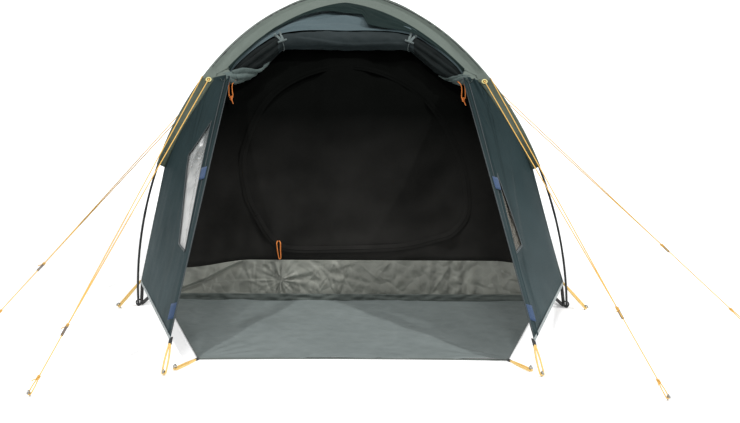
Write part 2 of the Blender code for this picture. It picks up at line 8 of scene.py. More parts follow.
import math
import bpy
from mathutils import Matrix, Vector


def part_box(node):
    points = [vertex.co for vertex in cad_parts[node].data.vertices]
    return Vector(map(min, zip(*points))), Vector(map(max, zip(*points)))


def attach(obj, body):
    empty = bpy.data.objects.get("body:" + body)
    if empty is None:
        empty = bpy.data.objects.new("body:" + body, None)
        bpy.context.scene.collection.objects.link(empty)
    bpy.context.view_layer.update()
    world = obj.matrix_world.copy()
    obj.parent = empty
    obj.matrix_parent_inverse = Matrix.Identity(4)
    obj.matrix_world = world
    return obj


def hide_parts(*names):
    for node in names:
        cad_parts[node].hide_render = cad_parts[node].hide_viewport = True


bl_info = {
    "name": "Pitched Dome Tent",
    "version": (1, 0, 0),
    "blender": (4, 5, 0),
    "location": "3D Viewport > Sidebar > Tent",
    "description": "Dresses a two-pole dome tent with cloth, film, webbing and cord",
    "category": "Object",
}

from types import SimpleNamespace

import bpy
import numpy as np
from bpy.props import FloatProperty, FloatVectorProperty, PointerProperty
from mathutils import Matrix, Vector

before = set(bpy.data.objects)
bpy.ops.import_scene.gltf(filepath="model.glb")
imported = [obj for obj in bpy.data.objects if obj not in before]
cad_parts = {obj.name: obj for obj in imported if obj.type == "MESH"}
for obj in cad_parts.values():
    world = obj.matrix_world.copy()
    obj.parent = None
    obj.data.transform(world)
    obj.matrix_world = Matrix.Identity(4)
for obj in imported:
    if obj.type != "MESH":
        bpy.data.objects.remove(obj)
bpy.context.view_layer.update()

# Poles and lean
HALF_WIDTH = 0.90
HALF_DEPTH = 1.05
POLE_HEIGHT = 1.28
POLE_RADIUS = 0.00475
HALF_DIAGONAL = math.hypot(HALF_WIDTH, HALF_DEPTH)
CROSSING_REACH = 0.16
LEAN = -0.045 / POLE_HEIGHT
POLE_PIECE = 0.42
FERRULE_HALF = 0.022
FERRULE_SWELL = 0.10

# Cloth: the solid that it stands for is 4 mm thick, and it lies in the middle of that
SOLID_CLOTH = 0.004
MIDDLE = SOLID_CLOTH / 2
CLOTH = 0.0008
THIN_CLOTH = 0.0006
GAP = 0.0003
HEM_HEIGHT = 0.10
SEAM_SLACK = 0.024
SEAM_SLACK_OVER = 0.2

# Sleeves: how far the flat of one reaches from the pole's axis, and its room round the pole
SLEEVE_RADIUS = 0.0075
SLEEVE_REACH = 0.054
SLEEVE_TOP_REACH = 0.026
SLEEVE_EASE = 0.0016

# Angles up a pole leg, from 0 at its foot to a quarter turn at the crossing
TOP = math.pi / 2
HEM_ANGLE = math.asin(HEM_HEIGHT / POLE_HEIGHT)
RING_ANGLE = math.radians(46.6)
SLEEVE_FOOT_ANGLE = math.radians(27.0)
SLEEVE_TOP_ANGLE = math.radians(83.5)

# The seam between the brow and the door, by the angle of the leg beside it
SEAM_TOP_ANGLE = math.radians(77.4)
SEAM_DROP = math.radians(28.7)
SEAM_DROP_AT = 0.53
SEAM_POWER = 1.335
SEAM_END = 0.515

# Porch wings and their windows
DOOR_TOP = np.array((-0.50, -0.705, 0.945))
DOOR_FOOT = np.array((-0.642, -1.898, 0.10))
SIDE_DIP = 0.035
WINDOW = (((0.72, 0.285), (0.89, 0.275)), ((0.47, 0.64), (0.79, 0.79)))
PANE_OFFSET = 0.0016
PANE_LAP = 0.015
PANE_SAG = 0.009
COVERED_FROM = 0.53
WING_HEAD_WIDTH = 0.25
WING_FOOT_WIDTH = 0.90
WING_FOLDS = {"left": (0.0012, 0.0008), "right": (0.0042, 0.0073)}
UPPER_TAG_AT = {"left": 0.570, "right": 0.538}
LOWER_TAG_AT = 0.078
TAG_WIDTH = 0.026

# Bedroom and groundsheets
INNER_HALF_WIDTH = 0.86
INNER_HALF_DEPTH = 0.95
INNER_HEIGHT = 1.19
TUB_HEIGHT = 0.175
TUB_CORNER_HEIGHT = 0.140
TUB_DROPS_FROM = (0.43, 0.60)
TUB_DROPS_OVER = 0.28
TUB_FLARE = 0.012
INNER_ANGLE = math.asin(TUB_HEIGHT / INNER_HEIGHT)
INNER_TOP = math.radians(89.6)
INNER_DRAWN = 0.016
INNER_SIDE_DRAWN = 0.050
THRESHOLD_HALF_WIDTH = 0.80
PORCH_FRONT = (0.563, -1.802)
PORCH_REAR_HALF_WIDTH = 0.80

# The rolled door: points along its right half, and its radius at each
ROLL = (
    ((0.000, -0.496, 1.078), 0.042),
    ((0.100, -0.499, 1.080), 0.042),
    ((0.200, -0.507, 1.079), 0.040),
    ((0.290, -0.526, 1.070), 0.034),
    ((0.355, -0.562, 1.030), 0.038),
    ((0.415, -0.605, 0.985), 0.040),
    ((0.465, -0.645, 0.948), 0.034),
    ((0.500, -0.672, 0.925), 0.016),
)
ROLL_END = ROLL[-1][0][0]

# Lips of cloth along the roll: where round it each lies, how wide and how high
LIPS = (
    (0.3, 0.34, 0.16), (1.1, 0.30, 0.15), (1.9, 0.33, 0.17),
    (2.9, 0.40, 0.15), (4.2, 0.5, 0.13), (5.4, 0.5, 0.13),
)
LIP_SHARP = 0.09
ROLL_CORE = 0.86

# The storm flap's depth, as a share of the flat door above the roll, across the tent
# Past a narrow strip the flap is painted shade: its depth follows the brow's shadow on the head
FLAP_SHADOW_REACH = (
    (-0.50, -0.36, -0.19, -0.09, 0.0, 0.080, 0.10, 0.18, 0.5),
    (0.95, 0.45, 0.22, 0.27, 0.44, 0.42, 0.82, 0.97, 0.98),
)

# The gathered ends: where each starts, its fullness and its flat size. Both reach the same tip.
# CUFF_RADIUS is their radius across the tent. CUFF_EDGE is where their free edge lies round the
# roll, from start to tip, and CUFF_LAST_TURN is where their sewn edge lies.
CUFFS = {"left": (0.36, 1.0, (0.24, 0.19)), "right": (0.43, 0.88, (0.19, 0.12))}
CUFF_TIP = 0.532
CUFF_RADIUS = ((0.36, 0.40, 0.45, 0.49, CUFF_TIP), (0.042, 0.049, 0.047, 0.033, 0.016))
CUFF_EDGE = ((0, 0.37, 0.62, 0.86, 1), (4.3, 3.6, 2.5, 1.7, 1.3))
CUFF_LAST_TURN = 5.9

# Ties
TIE_ACROSS = 0.29
TAPE_WIDTH = 0.011
TAPE_THICK = 0.0014
TOGGLE_RADIUS = 0.0042
TOGGLE_LENGTH = 0.044

# The bedroom door's zip, across and up, and how far it lies in front of the wall's middle
ZIP_OUT = 0.0105
ZIP = (
    (-0.40, 0.36), (-0.34, 0.265), (-0.267, 0.224), (-0.05, 0.223), (0.207, 0.234),
    (0.36, 0.268), (0.439, 0.300), (0.50, 0.40), (0.47, 0.62), (0.34, 0.84),
    (0.12, 0.955), (-0.12, 0.955), (-0.34, 0.84), (-0.45, 0.62), (-0.44, 0.45),
    (-0.40, 0.36),
)

# Pulls of the porch door's zips, across and as a share of the drop from the roll
DOOR_PULL_ENDS = (0.486, 0.466)
DOOR_PULL = (
    (0.489, 0.2), (0.493, 0.5), (0.4935, 0.80), (0.4905, 0.95), (0.485, 1.0),
    (0.4795, 0.95), (0.4770, 0.80), (0.479, 0.5), (0.473, 0.2),
)
DOOR_PULL_DROP = 0.085
DOOR_PULL_FRONT = -0.700
DOOR_PULL_ASIDE = 0.021

# Pull of the bedroom's zip, across and up: its ends lean back to the zip over the last stretch
INNER_PULL = (
    (-0.3105, 0.2575), (-0.3155, 0.2535), (-0.3172, 0.2440), (-0.3155, 0.220), (-0.3125, 0.195),
    (-0.3105, 0.1835), (-0.3065, 0.180), (-0.3027, 0.1835), (-0.3022, 0.195), (-0.3022, 0.220),
    (-0.3012, 0.2440), (-0.3030, 0.2535), (-0.3080, 0.2575),
)
INNER_PULL_OFF_WALL = 0.0077
INNER_PULL_LEANS_OVER = 0.0135

# Cords and pegs
GUY_RADIUS = 0.0021
PULL_RADIUS = 0.0023
LOOP_RADIUS = 0.0036
LOOP_SPREAD = 0.0067
PEG_RADIUS = 0.003
PEG_SHOWS = 0.014
RING_RADIUS = 0.012
RING_WIRE = 0.003
RING_LIFT = 0.011
RING_TILT = math.radians(60)
STRAP_WIDTH = 0.020
STRAP_THICK = 0.003
WEB_THICK = 0.0022
TAB_WIDTH = 0.018
TAB_LIFT = 0.012
CORNER_PEG = np.array((0.97, 1.085, 0.0))
WING_PEG = np.array((-0.657, -1.990, 0.0))
SHEET_PEG = np.array((-0.624, -1.926, 0.0))
SLIDER_LENGTH = 0.054
SLIDER_WIDTH = 0.0095
SLIDER_THICK = 0.0046
SLIDER_HOLE = 0.0026
SLIDER_BOW = 0.004
EYELET_LOW = math.radians(1.7)
EYELET_OUT = 0.010
EYELET_RADIUS = 0.0102
EYELET_WIRE = 0.0028
BEAD_RADIUS = 0.0046
LOOP_LENGTH = 0.070
EYELET_ANGLE = RING_ANGLE + math.radians(1.1)
EYELET_ASIDE = 0.039
GUYS = {
    "front_left": ((-1.065, -2.220, 0.0), 0.84),
    "front_right": ((1.037, -2.238, 0.0), 0.785),
    "rear_left": ((-1.434, -1.347, 0.0), 0.84),
    "rear_right": ((1.577, -1.268, 0.0), 0.78),
}

# Camera, from the photograph
CAMERA_PLACE = (-0.0147, -6.2504, 1.3732)
CAMERA_PITCH = 0.1837
CAMERA_YAW = -0.0158
CAMERA_ROLL = 0.0086
CAMERA_LENS = 62.04
SENSOR_WIDTH = 36.0

# Lights that cross the porch: way of travel, share of the key's strength, and width in degrees
SUNS = (
    ((0.52, 0.25, -1.0), 1.0, 1.8), ((-0.95, 0.25, -1.0), 1.4, 1.8),
    ((0.05, 0.05, -1.0), 0.5, 12.0),
)
FLOOR_SIZE = 900.0
FLOOR_DROP = 0.0012
FLOOR_GLOW = 0.2

# Which way each side and each corner lies from the middle of the tent
SIDES = {"left": -1, "right": 1}
CORNERS = {
    "front_left": (-1, -1), "front_right": (1, -1), "rear_left": (-1, 1), "rear_right": (1, 1),
}


# Colours and materials


def linear(colour):
    """An sRGB hex colour, or one that the user picked, as the four values that a socket takes."""
    if not isinstance(colour, str):
        return (*colour, 1.0)
    shown = [int(colour[i:i + 2], 16) / 255 for i in (1, 3, 5)]
    return (*[c / 12.92 if c <= 0.04045 else ((c + 0.055) / 1.055) ** 2.4 for c in shown], 1.0)


def add(tree, kind, values=None, **settings):
    """One node, with its settings, and a value or a link for each input that is named."""
    node = tree.nodes.new("ShaderNode" + kind)
    for name, value in settings.items():
        setattr(node, name, value)
    for key, value in (values or {}).items():
        if isinstance(value, bpy.types.NodeSocket):
            tree.links.new(value, node.inputs[key])
        else:
            node.inputs[key].default_value = value
    return node


def new_material(name):
    made = bpy.data.materials.new(name)
    made.use_nodes = True
    tree = made.node_tree
    return made, tree, tree.nodes["Principled BSDF"]


def threads(tree, coords, pitch):
    """The height of a plain weave whose threads lie pitch metres apart."""
    heights = []
    for direction in ("X", "Y"):
        wave = add(
            tree, "TexWave", {"Vector": coords, "Scale": math.pi / 10 / pitch},
            bands_direction=direction,
        )
        heights.append(wave.outputs["Fac"])
    return add(tree, "Math", {0: heights[0], 1: heights[1]}, operation="MAXIMUM").outputs[0]


def woven(name, hex_face, hex_worn, roughness=0.6, sheen=0.05, pitch=0.0022, crumple=0.3,
          gloss=0.2):
    """Woven cloth. Its threads are about 0.2 mm, drawn ten times as coarse so that they show."""
    made, tree, shader = new_material(name)
    coords = add(tree, "TexCoord").outputs["UV"]
    broad = add(tree, "TexNoise", {"Vector": coords, "Scale": 2.6, "Detail": 4.0, "Roughness": 0.6})
    slub = add(
        tree, "TexNoise", {"Vector": coords, "Scale": 70.0, "Detail": 2.0, "Roughness": 0.5},
    )
    tone = add(tree, "Math", {0: broad.outputs["Fac"], 1: 0.75}, operation="MULTIPLY")
    tone = add(tree, "Math", {0: slub.outputs["Fac"], 1: 0.25, 2: tone.outputs[0]},
               operation="MULTIPLY_ADD")
    ramp = add(tree, "ValToRGB", {"Fac": tone.outputs[0]})
    ramp.color_ramp.elements[0].position = 0.36
    ramp.color_ramp.elements[0].color = linear(hex_face)
    ramp.color_ramp.elements[1].position = 0.66
    ramp.color_ramp.elements[1].color = linear(hex_worn)
    tree.links.new(ramp.outputs["Color"], shader.inputs["Base Color"])
    rough = add(tree, "MapRange", {
        "Value": slub.outputs["Fac"], "To Min": roughness - 0.07, "To Max": roughness + 0.09,
    })
    tree.links.new(rough.outputs["Result"], shader.inputs["Roughness"])
    shader.inputs["Sheen Weight"].default_value = sheen
    shader.inputs["Sheen Roughness"].default_value = 0.4
    shader.inputs["Specular IOR Level"].default_value = gloss
    creases = add(tree, "TexNoise", {
        "Vector": coords, "Scale": 9.0, "Detail": 5.0, "Roughness": 0.55, "Distortion": 0.4,
    }, noise_type="RIDGED_MULTIFRACTAL")
    folds = add(tree, "Bump", {
        "Height": creases.outputs["Fac"], "Strength": crumple, "Distance": 0.004,
    })
    weave = add(tree, "Bump", {
        "Height": threads(tree, coords, pitch), "Strength": 0.35, "Distance": 0.0004,
        "Normal": folds.outputs["Normal"],
    })
    tree.links.new(weave.outputs["Normal"], shader.inputs["Normal"])
    return made


def polythene(name, hex_low, hex_high, roughness, crinkle, pitch=0.004):
    """Woven polythene sheet, coated: flat threads under a film that creases sharply and shines."""
    made, tree, shader = new_material(name)
    coords = add(tree, "TexCoord").outputs["UV"]
    cloud = add(tree, "TexNoise", {"Vector": coords, "Scale": 3.0, "Detail": 5.0, "Roughness": 0.6})
    facets = add(tree, "TexVoronoi", {"Vector": coords, "Scale": 22.0, "Randomness": 1.0})
    tone = add(tree, "Math", {0: facets.outputs["Distance"], 1: 0.30, 2: cloud.outputs["Fac"]},
               operation="MULTIPLY_ADD")
    ramp = add(tree, "ValToRGB", {"Fac": tone.outputs[0]})
    ramp.color_ramp.elements[0].position = 0.35
    ramp.color_ramp.elements[0].color = linear(hex_low)
    ramp.color_ramp.elements[1].position = 0.85
    ramp.color_ramp.elements[1].color = linear(hex_high)
    tree.links.new(ramp.outputs["Color"], shader.inputs["Base Color"])
    rough = add(tree, "MapRange", {
        "Value": cloud.outputs["Fac"], "To Min": roughness - 0.1, "To Max": roughness + 0.1,
    })
    tree.links.new(rough.outputs["Result"], shader.inputs["Roughness"])
    creases = add(tree, "TexNoise", {
        "Vector": coords, "Scale": 16.0, "Detail": 6.0, "Roughness": 0.6, "Distortion": 0.9,
    }, noise_type="RIDGED_MULTIFRACTAL")
    height = add(tree, "Math", {0: facets.outputs["Distance"], 1: -0.9,
                                2: creases.outputs["Fac"]}, operation="MULTIPLY_ADD")
    folds = add(tree, "Bump", {
        "Height": height.outputs[0], "Strength": crinkle, "Distance": 0.007,
    })
    tape = add(tree, "Bump", {
        "Height": threads(tree, coords, pitch), "Strength": 0.2, "Distance": 0.0003,
        "Normal": folds.outputs["Normal"],
    })
    tree.links.new(tape.outputs["Normal"], shader.inputs["Normal"])
    return made


def painted_foot_light(made, hex_lit_foot):
    """Lightens a cloth in patches towards its foot: painted light, as more light reaches it there.
    """
    tree = made.node_tree
    shader = tree.nodes["Principled BSDF"]
    unlit_colour = shader.inputs["Base Color"].links[0].from_socket
    place = add(tree, "TexCoord").outputs["Object"]
    height = add(tree, "SeparateXYZ", {"Vector": place}).outputs["Z"]
    cloud = add(tree, "TexNoise", {"Vector": place, "Scale": 4.0, "Detail": 4.0}).outputs["Fac"]
    low = add(tree, "MapRange", {"Value": height, "From Min": 0.78, "From Max": 0.12})
    share = add(tree, "Math", {0: low.outputs["Result"], 1: cloud}, operation="MULTIPLY")
    share = add(tree, "Math", {0: share.outputs[0], 1: 1.3}, operation="MULTIPLY", use_clamp=True)
    mixed = add(tree, "Mix", {0: share.outputs[0], 6: unlit_colour, 7: linear(hex_lit_foot)},
                data_type="RGBA")
    tree.links.new(mixed.outputs[2], shader.inputs["Base Color"])
    return made


def clear_film(name, hex_top, hex_foot):
    """Clear PVC film: glossy, rumpled where folded, with painted light and shade by height."""
    made, tree, shader = new_material(name)
    coords = add(tree, "TexCoord")
    haze = add(tree, "TexNoise", {"Vector": coords.outputs["UV"], "Scale": 16.0, "Detail": 5.0})
    height = add(tree, "SeparateXYZ", {"Vector": coords.outputs["Object"]}).outputs["Z"]
    # Its colour runs from hex_top to hex_foot with height: painted light and shade
    low = add(tree, "MapRange", {"Value": height, "From Min": 0.72, "From Max": 0.36})
    tone = add(tree, "Math", {0: haze.outputs["Fac"], 1: 0.7, 2: low.outputs["Result"]},
               operation="MULTIPLY_ADD")
    ramp = add(tree, "ValToRGB", {"Fac": tone.outputs[0]})
    ramp.color_ramp.elements[0].position = 0.3
    ramp.color_ramp.elements[0].color = linear(hex_top)
    ramp.color_ramp.elements[1].position = 1.0
    ramp.color_ramp.elements[1].color = linear(hex_foot)
    tree.links.new(ramp.outputs["Color"], shader.inputs["Base Color"])
    shader.inputs["Alpha"].default_value = 0.40
    shader.inputs["IOR"].default_value = 1.5
    shader.inputs["Roughness"].default_value = 0.24
    creases = add(tree, "TexNoise", {
        "Vector": coords.outputs["UV"], "Scale": 20.0, "Detail": 4.0, "Roughness": 0.6,
        "Distortion": 1.2,
    }, noise_type="RIDGED_MULTIFRACTAL")
    bump = add(tree, "Bump", {
        "Height": creases.outputs["Fac"], "Strength": 0.35, "Distance": 0.003,
    })
    tree.links.new(bump.outputs["Normal"], shader.inputs["Normal"])
    return made


def webbing(name, hex_face, hex_edge, pitch=0.0030):
    """Woven webbing: thick ribs across its length, with a soft shine."""
    made, tree, shader = new_material(name)
    coords = add(tree, "TexCoord").outputs["UV"]
    ribs = add(tree, "TexWave", {"Vector": coords, "Scale": math.pi / 10 / pitch,
                                 "Distortion": 0.3}, bands_direction="Y")
    mixed = add(tree, "Mix", {0: ribs.outputs["Fac"], 6: linear(hex_edge), 7: linear(hex_face)},
                data_type="RGBA")
    tree.links.new(mixed.outputs[2], shader.inputs["Base Color"])
    shader.inputs["Roughness"].default_value = 0.7
    shader.inputs["Sheen Weight"].default_value = 0.15
    bump = add(tree, "Bump", {"Height": ribs.outputs["Fac"], "Strength": 0.6, "Distance": 0.0006})
    tree.links.new(bump.outputs["Normal"], shader.inputs["Normal"])
    return made


def braid(name, hex_low, hex_high, strand=0.0018):
    """Braided polyester cord: strands that cross it both ways, on its own UV map in metres."""
    made, tree, shader = new_material(name)
    coords = add(tree, "TexCoord").outputs["UV"]
    ways = []
    for turn in (0.7, -0.7):
        turned = add(tree, "Mapping", {"Vector": coords, "Rotation": (0, 0, turn)})
        wave = add(tree, "TexWave", {"Vector": turned.outputs["Vector"],
                                     "Scale": math.pi / 10 / strand}, bands_direction="X")
        ways.append(wave.outputs["Fac"])
    height = add(tree, "Math", {0: ways[0], 1: ways[1]}, operation="MAXIMUM").outputs[0]
    mixed = add(tree, "Mix", {0: height, 6: linear(hex_low), 7: linear(hex_high)},
                data_type="RGBA")
    tree.links.new(mixed.outputs[2], shader.inputs["Base Color"])
    shader.inputs["Roughness"].default_value = 0.6
    shader.inputs["Sheen Weight"].default_value = 0.2
    bump = add(tree, "Bump", {"Height": height, "Strength": 0.5, "Distance": 0.0005})
    tree.links.new(bump.outputs["Normal"], shader.inputs["Normal"])
    return made


def hard(name, hex_face, hex_worn, roughness, metallic=0.0, grain=60.0):
    """A moulded, drawn or plated surface, scuffed a little all over."""
    made, tree, shader = new_material(name)
    coords = add(tree, "TexCoord").outputs["Object"]
    scuff = add(tree, "TexNoise", {"Vector": coords, "Scale": grain, "Detail": 5.0,
                                   "Roughness": 0.65})
    mixed = add(tree, "Mix", {0: scuff.outputs["Fac"], 6: linear(hex_face), 7: linear(hex_worn)},
                data_type="RGBA")
    tree.links.new(mixed.outputs[2], shader.inputs["Base Color"])
    rough = add(tree, "MapRange", {
        "Value": scuff.outputs["Fac"], "To Min": roughness - 0.1, "To Max": roughness + 0.12,
    })
    tree.links.new(rough.outputs["Result"], shader.inputs["Roughness"])
    shader.inputs["Metallic"].default_value = metallic
    bump = add(tree, "Bump", {"Height": scuff.outputs["Fac"], "Strength": 0.15,
                              "Distance": 0.0004})
    tree.links.new(bump.outputs["Normal"], shader.inputs["Normal"])
    return made


FINISHES = {}


def make_finishes(look):
    """Every material once, by its plain name."""
    FINISHES.update({
        # Polyurethane-coated polyester taffeta: matt, with a faint sheen along its folds
        "fly": woven("grey_green_taffeta", look.flysheet, "#6a746d"),
        # The low front of the sleeves: the flysheet's cloth drawn darker, painted shade
        "sleeve": woven("sleeve_cloth_painted_shade", "#485145", "#535c50"),
        # The wings' cloth is drawn lighter towards its foot: painted light
        "door": painted_foot_light(woven("blue_green_taffeta", look.wings, "#253436", sheen=0.02, crumple=0.12,
                            gloss=0.07), "#3b4a4d"),
        "roll": woven("rolled_taffeta", "#1e2627", "#2a3335", sheen=0.02, crumple=0.6, gloss=0.15),
        # The roll's ends: the door's cloth drawn far darker, painted shade
        "roll_end": woven("roll_taffeta_painted_shade", "#0d1212", "#161d1d", sheen=0.02, crumple=0.6,
                          gloss=0.1),
        # The flat door head: the door's cloth drawn lighter, painted light where the lights fall on
        # it
        "head": woven("head_taffeta_painted_light", "#47565a", "#526266"),
        "reverse": woven("coated_reverse", "#485452", "#687673", roughness=0.5),
        # Uncoated black polyester that lets air through: it hardly shines
        # The bedroom's black cloth is drawn lighter towards its foot: painted light
        "bedroom": painted_foot_light(woven("black_polyester", look.bedroom, "#0a0b0a", roughness=0.9, sheen=0.0,
                               gloss=0.02), "#3a3937"),
        "tub": polythene("tub_polythene", look.tub, "#9c9e95", 0.36, 1.0),
        "porch": polythene("porch_polythene", look.porch_floor, "#798180", 0.5, 0.25),
        "threshold": woven("threshold_taffeta", "#59605c", "#6b726e"),
        # A narrow dark storm flap along the seam, deepened into painted shade
        "flap": woven("flap_taffeta_painted_shade", "#182423", "#22302e", sheen=0.0, gloss=0.05),
        # The same clear film twice: the left drawn light at its foot, painted light; the right dark,
        # painted shade
        "film_left": clear_film("pvc_film_painted_light", "#7f8686", "#fafbfa"),
        "film_right": clear_film("pvc_film_painted_shade", "#3a3831", "#8a877e"),
        "webbing": webbing("black_webbing", "#1c1d1e", "#101112"),
        "binding": webbing("grey_binding", "#a9b1b1", "#858e8e", pitch=0.0016),
        "piping": webbing("door_piping", "#303c3f", "#253033", pitch=0.0016),
        "tie": webbing("grey_tie_tape", "#6c7978", "#505c5b", pitch=0.0016),
        "tag": webbing("blue_tag", look.tags, "#213d61", pitch=0.0016),
        "guy": braid("yellow_guy_cord", look.guys, "#f4c564"),
        "pull": braid("orange_pull_cord", look.pulls, "#ff9c42"),
        "loop": braid("yellow_peg_elastic", "#dcaa42", "#f6d384"),
        # Glass fibre rod, pultruded and sleeved in black film
        "pole": hard("black_glass_fibre", "#121416", "#1f2224", 0.34),
        "slider": hard("brown_grey_acetal", "#61574f", "#776c62", 0.42),
        "eyelet": hard("yellow_moulded_eyelet", "#d8cb85", "#ece29f", 0.4),
        # Zinc-plated steel wire, dull from use
        "steel": hard("plated_steel_wire", "#9a9c9b", "#b4b6b4", 0.38, metallic=1.0),
    })


# Building with nets of points


def spot(x, y, z):
    """Points from coordinates that may be numbers or arrays."""
    return np.stack(np.broadcast_arrays(x, y, z), axis=-1).astype(float)


def unit(vectors):
    return vectors / np.maximum(np.linalg.norm(vectors, axis=-1, keepdims=True), 1e-12)


def lean_over(points):
    leaned = np.array(points, float)
    leaned[..., 0] += LEAN * leaned[..., 2]
    return leaned


def rumple(x, y, size, seed, stretch=1.0, waves=12):
    """A smooth random surface about 1 high, with lumps of that size, longer along y by stretch."""
    chance = np.random.default_rng(seed)
    total = np.zeros(np.broadcast(x, y).shape)
    for _ in range(waves):
        turn, start = chance.uniform(0, math.tau, 2)
        pace = math.tau / (size * chance.uniform(0.7, 1.7))
        total += np.sin(pace * (x * math.cos(turn) + y * math.sin(turn) / stretch) + start)
    return total / math.sqrt(waves / 2)


def creased(x, y, size, seed, sharp=3.0, stretch=1.0):
    """Sharp ridges, from 0 to 1 high, that wander over a sheet about size apart."""
    return (1 - np.minimum(np.abs(rumple(x, y, size, seed, stretch)), 1)) ** sharp


def rays(x, y, centre, count, reach, seed):
    """Folds that fan out from a point where cloth is pulled, dying away with distance."""
    chance = np.random.default_rng(seed)
    away_x, away_y = x - centre[0], y - centre[1]
    far = np.hypot(away_x, away_y)
    angle = np.arctan2(away_y, away_x)
    total = np.zeros(np.broadcast(x, y).shape)
    for step in range(3):
        total += np.sin(count * (1 + 0.4 * step) * angle + chance.uniform(0, math.tau))
    return total / 2 * np.exp(-far / reach) * np.minimum(far / (0.3 * reach), 1)


def folds(x, y, count, box, size, seed):
    """Sharp creases such as a sheet keeps from its bag: short straight folds at all angles."""
    chance = np.random.default_rng(seed)
    total = np.zeros(np.broadcast(x, y).shape)
    for _ in range(count):
        at_x, at_y = chance.uniform(*box[0]), chance.uniform(*box[1])
        turn = chance.normal(math.pi / 2, 0.75)
        long, wide = size * chance.uniform(0.5, 1.6), size * chance.uniform(0.06, 0.16)
        run = (x - at_x) * math.cos(turn) + (y - at_y) * math.sin(turn)
        off = (y - at_y) * math.cos(turn) - (x - at_x) * math.sin(turn)
        shape = np.exp(-np.abs(off) / wide) if chance.random() < 0.5 else np.tanh(off / wide) * (
            0.8 * np.exp(-(off / (3 * wide)) ** 2))
        total += chance.uniform(0.4, 1.0) * shape * np.exp(-(run / long) ** 2)
    return total


def smooth_step(value):
    value = np.clip(value, 0, 1)
    return value * value * (3 - 2 * value)


def net_object(name, points, uv, wrap=False, caps=False, keep=None):
    """A mesh object through a net of points, row by row, with its UV map in metres."""
    rows, columns = points.shape[:2]
    index = np.arange(rows * columns).reshape(rows, columns)
    if wrap:
        index = np.concatenate([index, index[:, :1]], axis=1)
    corners = ((0, 0), (0, 1), (1, 1), (1, 0))
    down, along = index.shape[0] - 1, index.shape[1] - 1
    quads = np.stack([index[i:i + down, j:j + along] for i, j in corners], axis=-1)
    maps = np.stack([uv[i:i + down, j:j + along] for i, j in corners], axis=2)
    chosen = np.ones((down, along), bool) if keep is None else keep
    faces, maps = quads[chosen].reshape(-1, 4), maps[chosen].reshape(-1, 4, 2)
    face_list = faces.tolist()
    uv_list = maps.reshape(-1, 2).tolist()
    if caps:
        for end, turned in ((0, True), (-1, False)):
            ring = index[end, :-1].tolist()
            face_list.append(ring[::-1] if turned else ring)
            uv_list += [[0.0, 0.0]] * len(ring)
    mesh = bpy.data.meshes.new(name)
    mesh.from_pydata(points.reshape(-1, 3).tolist(), [], face_list)
    layer = mesh.uv_layers.new(name="UVMap")
    layer.data.foreach_set("uv", np.array(uv_list, np.float32).ravel())
    mesh.shade_smooth()
    mesh.update()
    made = bpy.data.objects.new(name, mesh)
    bpy.context.collection.objects.link(made)
    return made


def run_lengths(points, axis):
    """How far each point lies from the first, measured over the cloth along one way of a net."""
    steps = np.linalg.norm(np.diff(points, axis=axis), axis=-1)
    zero = np.zeros_like(np.take(steps, [0], axis=axis))
    return np.cumsum(np.concatenate([zero, steps], axis=axis), axis=axis)


def lay_cloth(name, place, columns, rows, relief=None, lift=MIDDLE, keep=None, thick=CLOTH):
    """A sheet laid over place(across, up), raised by relief(cloth) and given its thickness.

    across and up run from 0 to 1. Over the cloth, in metres, s and t run from its middle and
    its foot, and side, foot and head say how far its edges are.
    """
    across, up = np.meshgrid(np.linspace(0, 1, columns + 1), np.linspace(0, 1, rows + 1))
    points = place(across, up)
    normal = unit(np.cross(np.gradient(points, axis=1), np.gradient(points, axis=0)))
    s = run_lengths(points, 1)
    width = s[:, -1:]
    t = run_lengths(points, 0)
    middle = t[:, columns // 2:columns // 2 + 1]
    cloth = SimpleNamespace(
        across=across, up=up, s=s - width / 2, t=np.broadcast_to(middle, t.shape),
        side=np.minimum(s, width - s), foot=t, head=t[-1:] - t, points=points,
    )
    height = lift + (relief(cloth) if relief else 0)
    points = lean_over(points + normal * np.broadcast_to(height, across.shape)[..., None])
    made = net_object(name, points, np.stack([cloth.s, cloth.t], axis=-1), keep=keep)
    thicken(made, thick)
    return made


def thicken(made, thick):
    """Gives an open sheet its thickness, half on each side."""
    solid = made.modifiers.new("thickness", "SOLIDIFY")
    solid.thickness = thick
    solid.offset = 0.0
    with bpy.context.temp_override(object=made, active_object=made, selected_objects=[made]):
        bpy.ops.object.modifier_apply(modifier=solid.name)


def along_line(line, up=None):
    """Sideways and upward directions at each point of a line."""
    ahead = unit(np.gradient(line, axis=0))
    if up is not None:
        side = unit(np.cross(np.broadcast_to(up, ahead.shape), ahead))
        return side, np.cross(ahead, side)
    level = (0, 0, 1) if abs(ahead[0][2]) < 0.9 else (1, 0, 0)
    sides = [unit(np.cross(ahead[0], level))]
    for direction in ahead[1:]:
        sides.append(unit(sides[-1] - direction * sides[-1].dot(direction)))
    side = np.array(sides)
    return side, np.cross(ahead, side)


def sweep(name, line, ring, up=None, closed=False):
    """A skin swept along a line: ring holds (sideways, upward) offsets, once or for each point."""
    line = np.array(line, float)
    side, rise = along_line(line, up)
    ring = np.broadcast_to(ring, (len(line), *np.shape(ring)[-2:]))
    points = line[:, None] + ring[..., :1] * side[:, None] + ring[..., 1:] * rise[:, None]
    around = np.concatenate([points, points[:, :1]], axis=1)
    uv = np.stack([run_lengths(around, 1), np.broadcast_to(
        run_lengths(line, 0)[:, None], around.shape[:2])], axis=-1)
    if closed:
        points = np.concatenate([points, points[:1]], axis=0)
        uv = np.concatenate([uv, uv[-1:] + (0, 0.005)], axis=0)
    made = net_object(name, lean_over(points), uv, wrap=True, caps=not closed)
    if closed:
        weld(made)
    return made


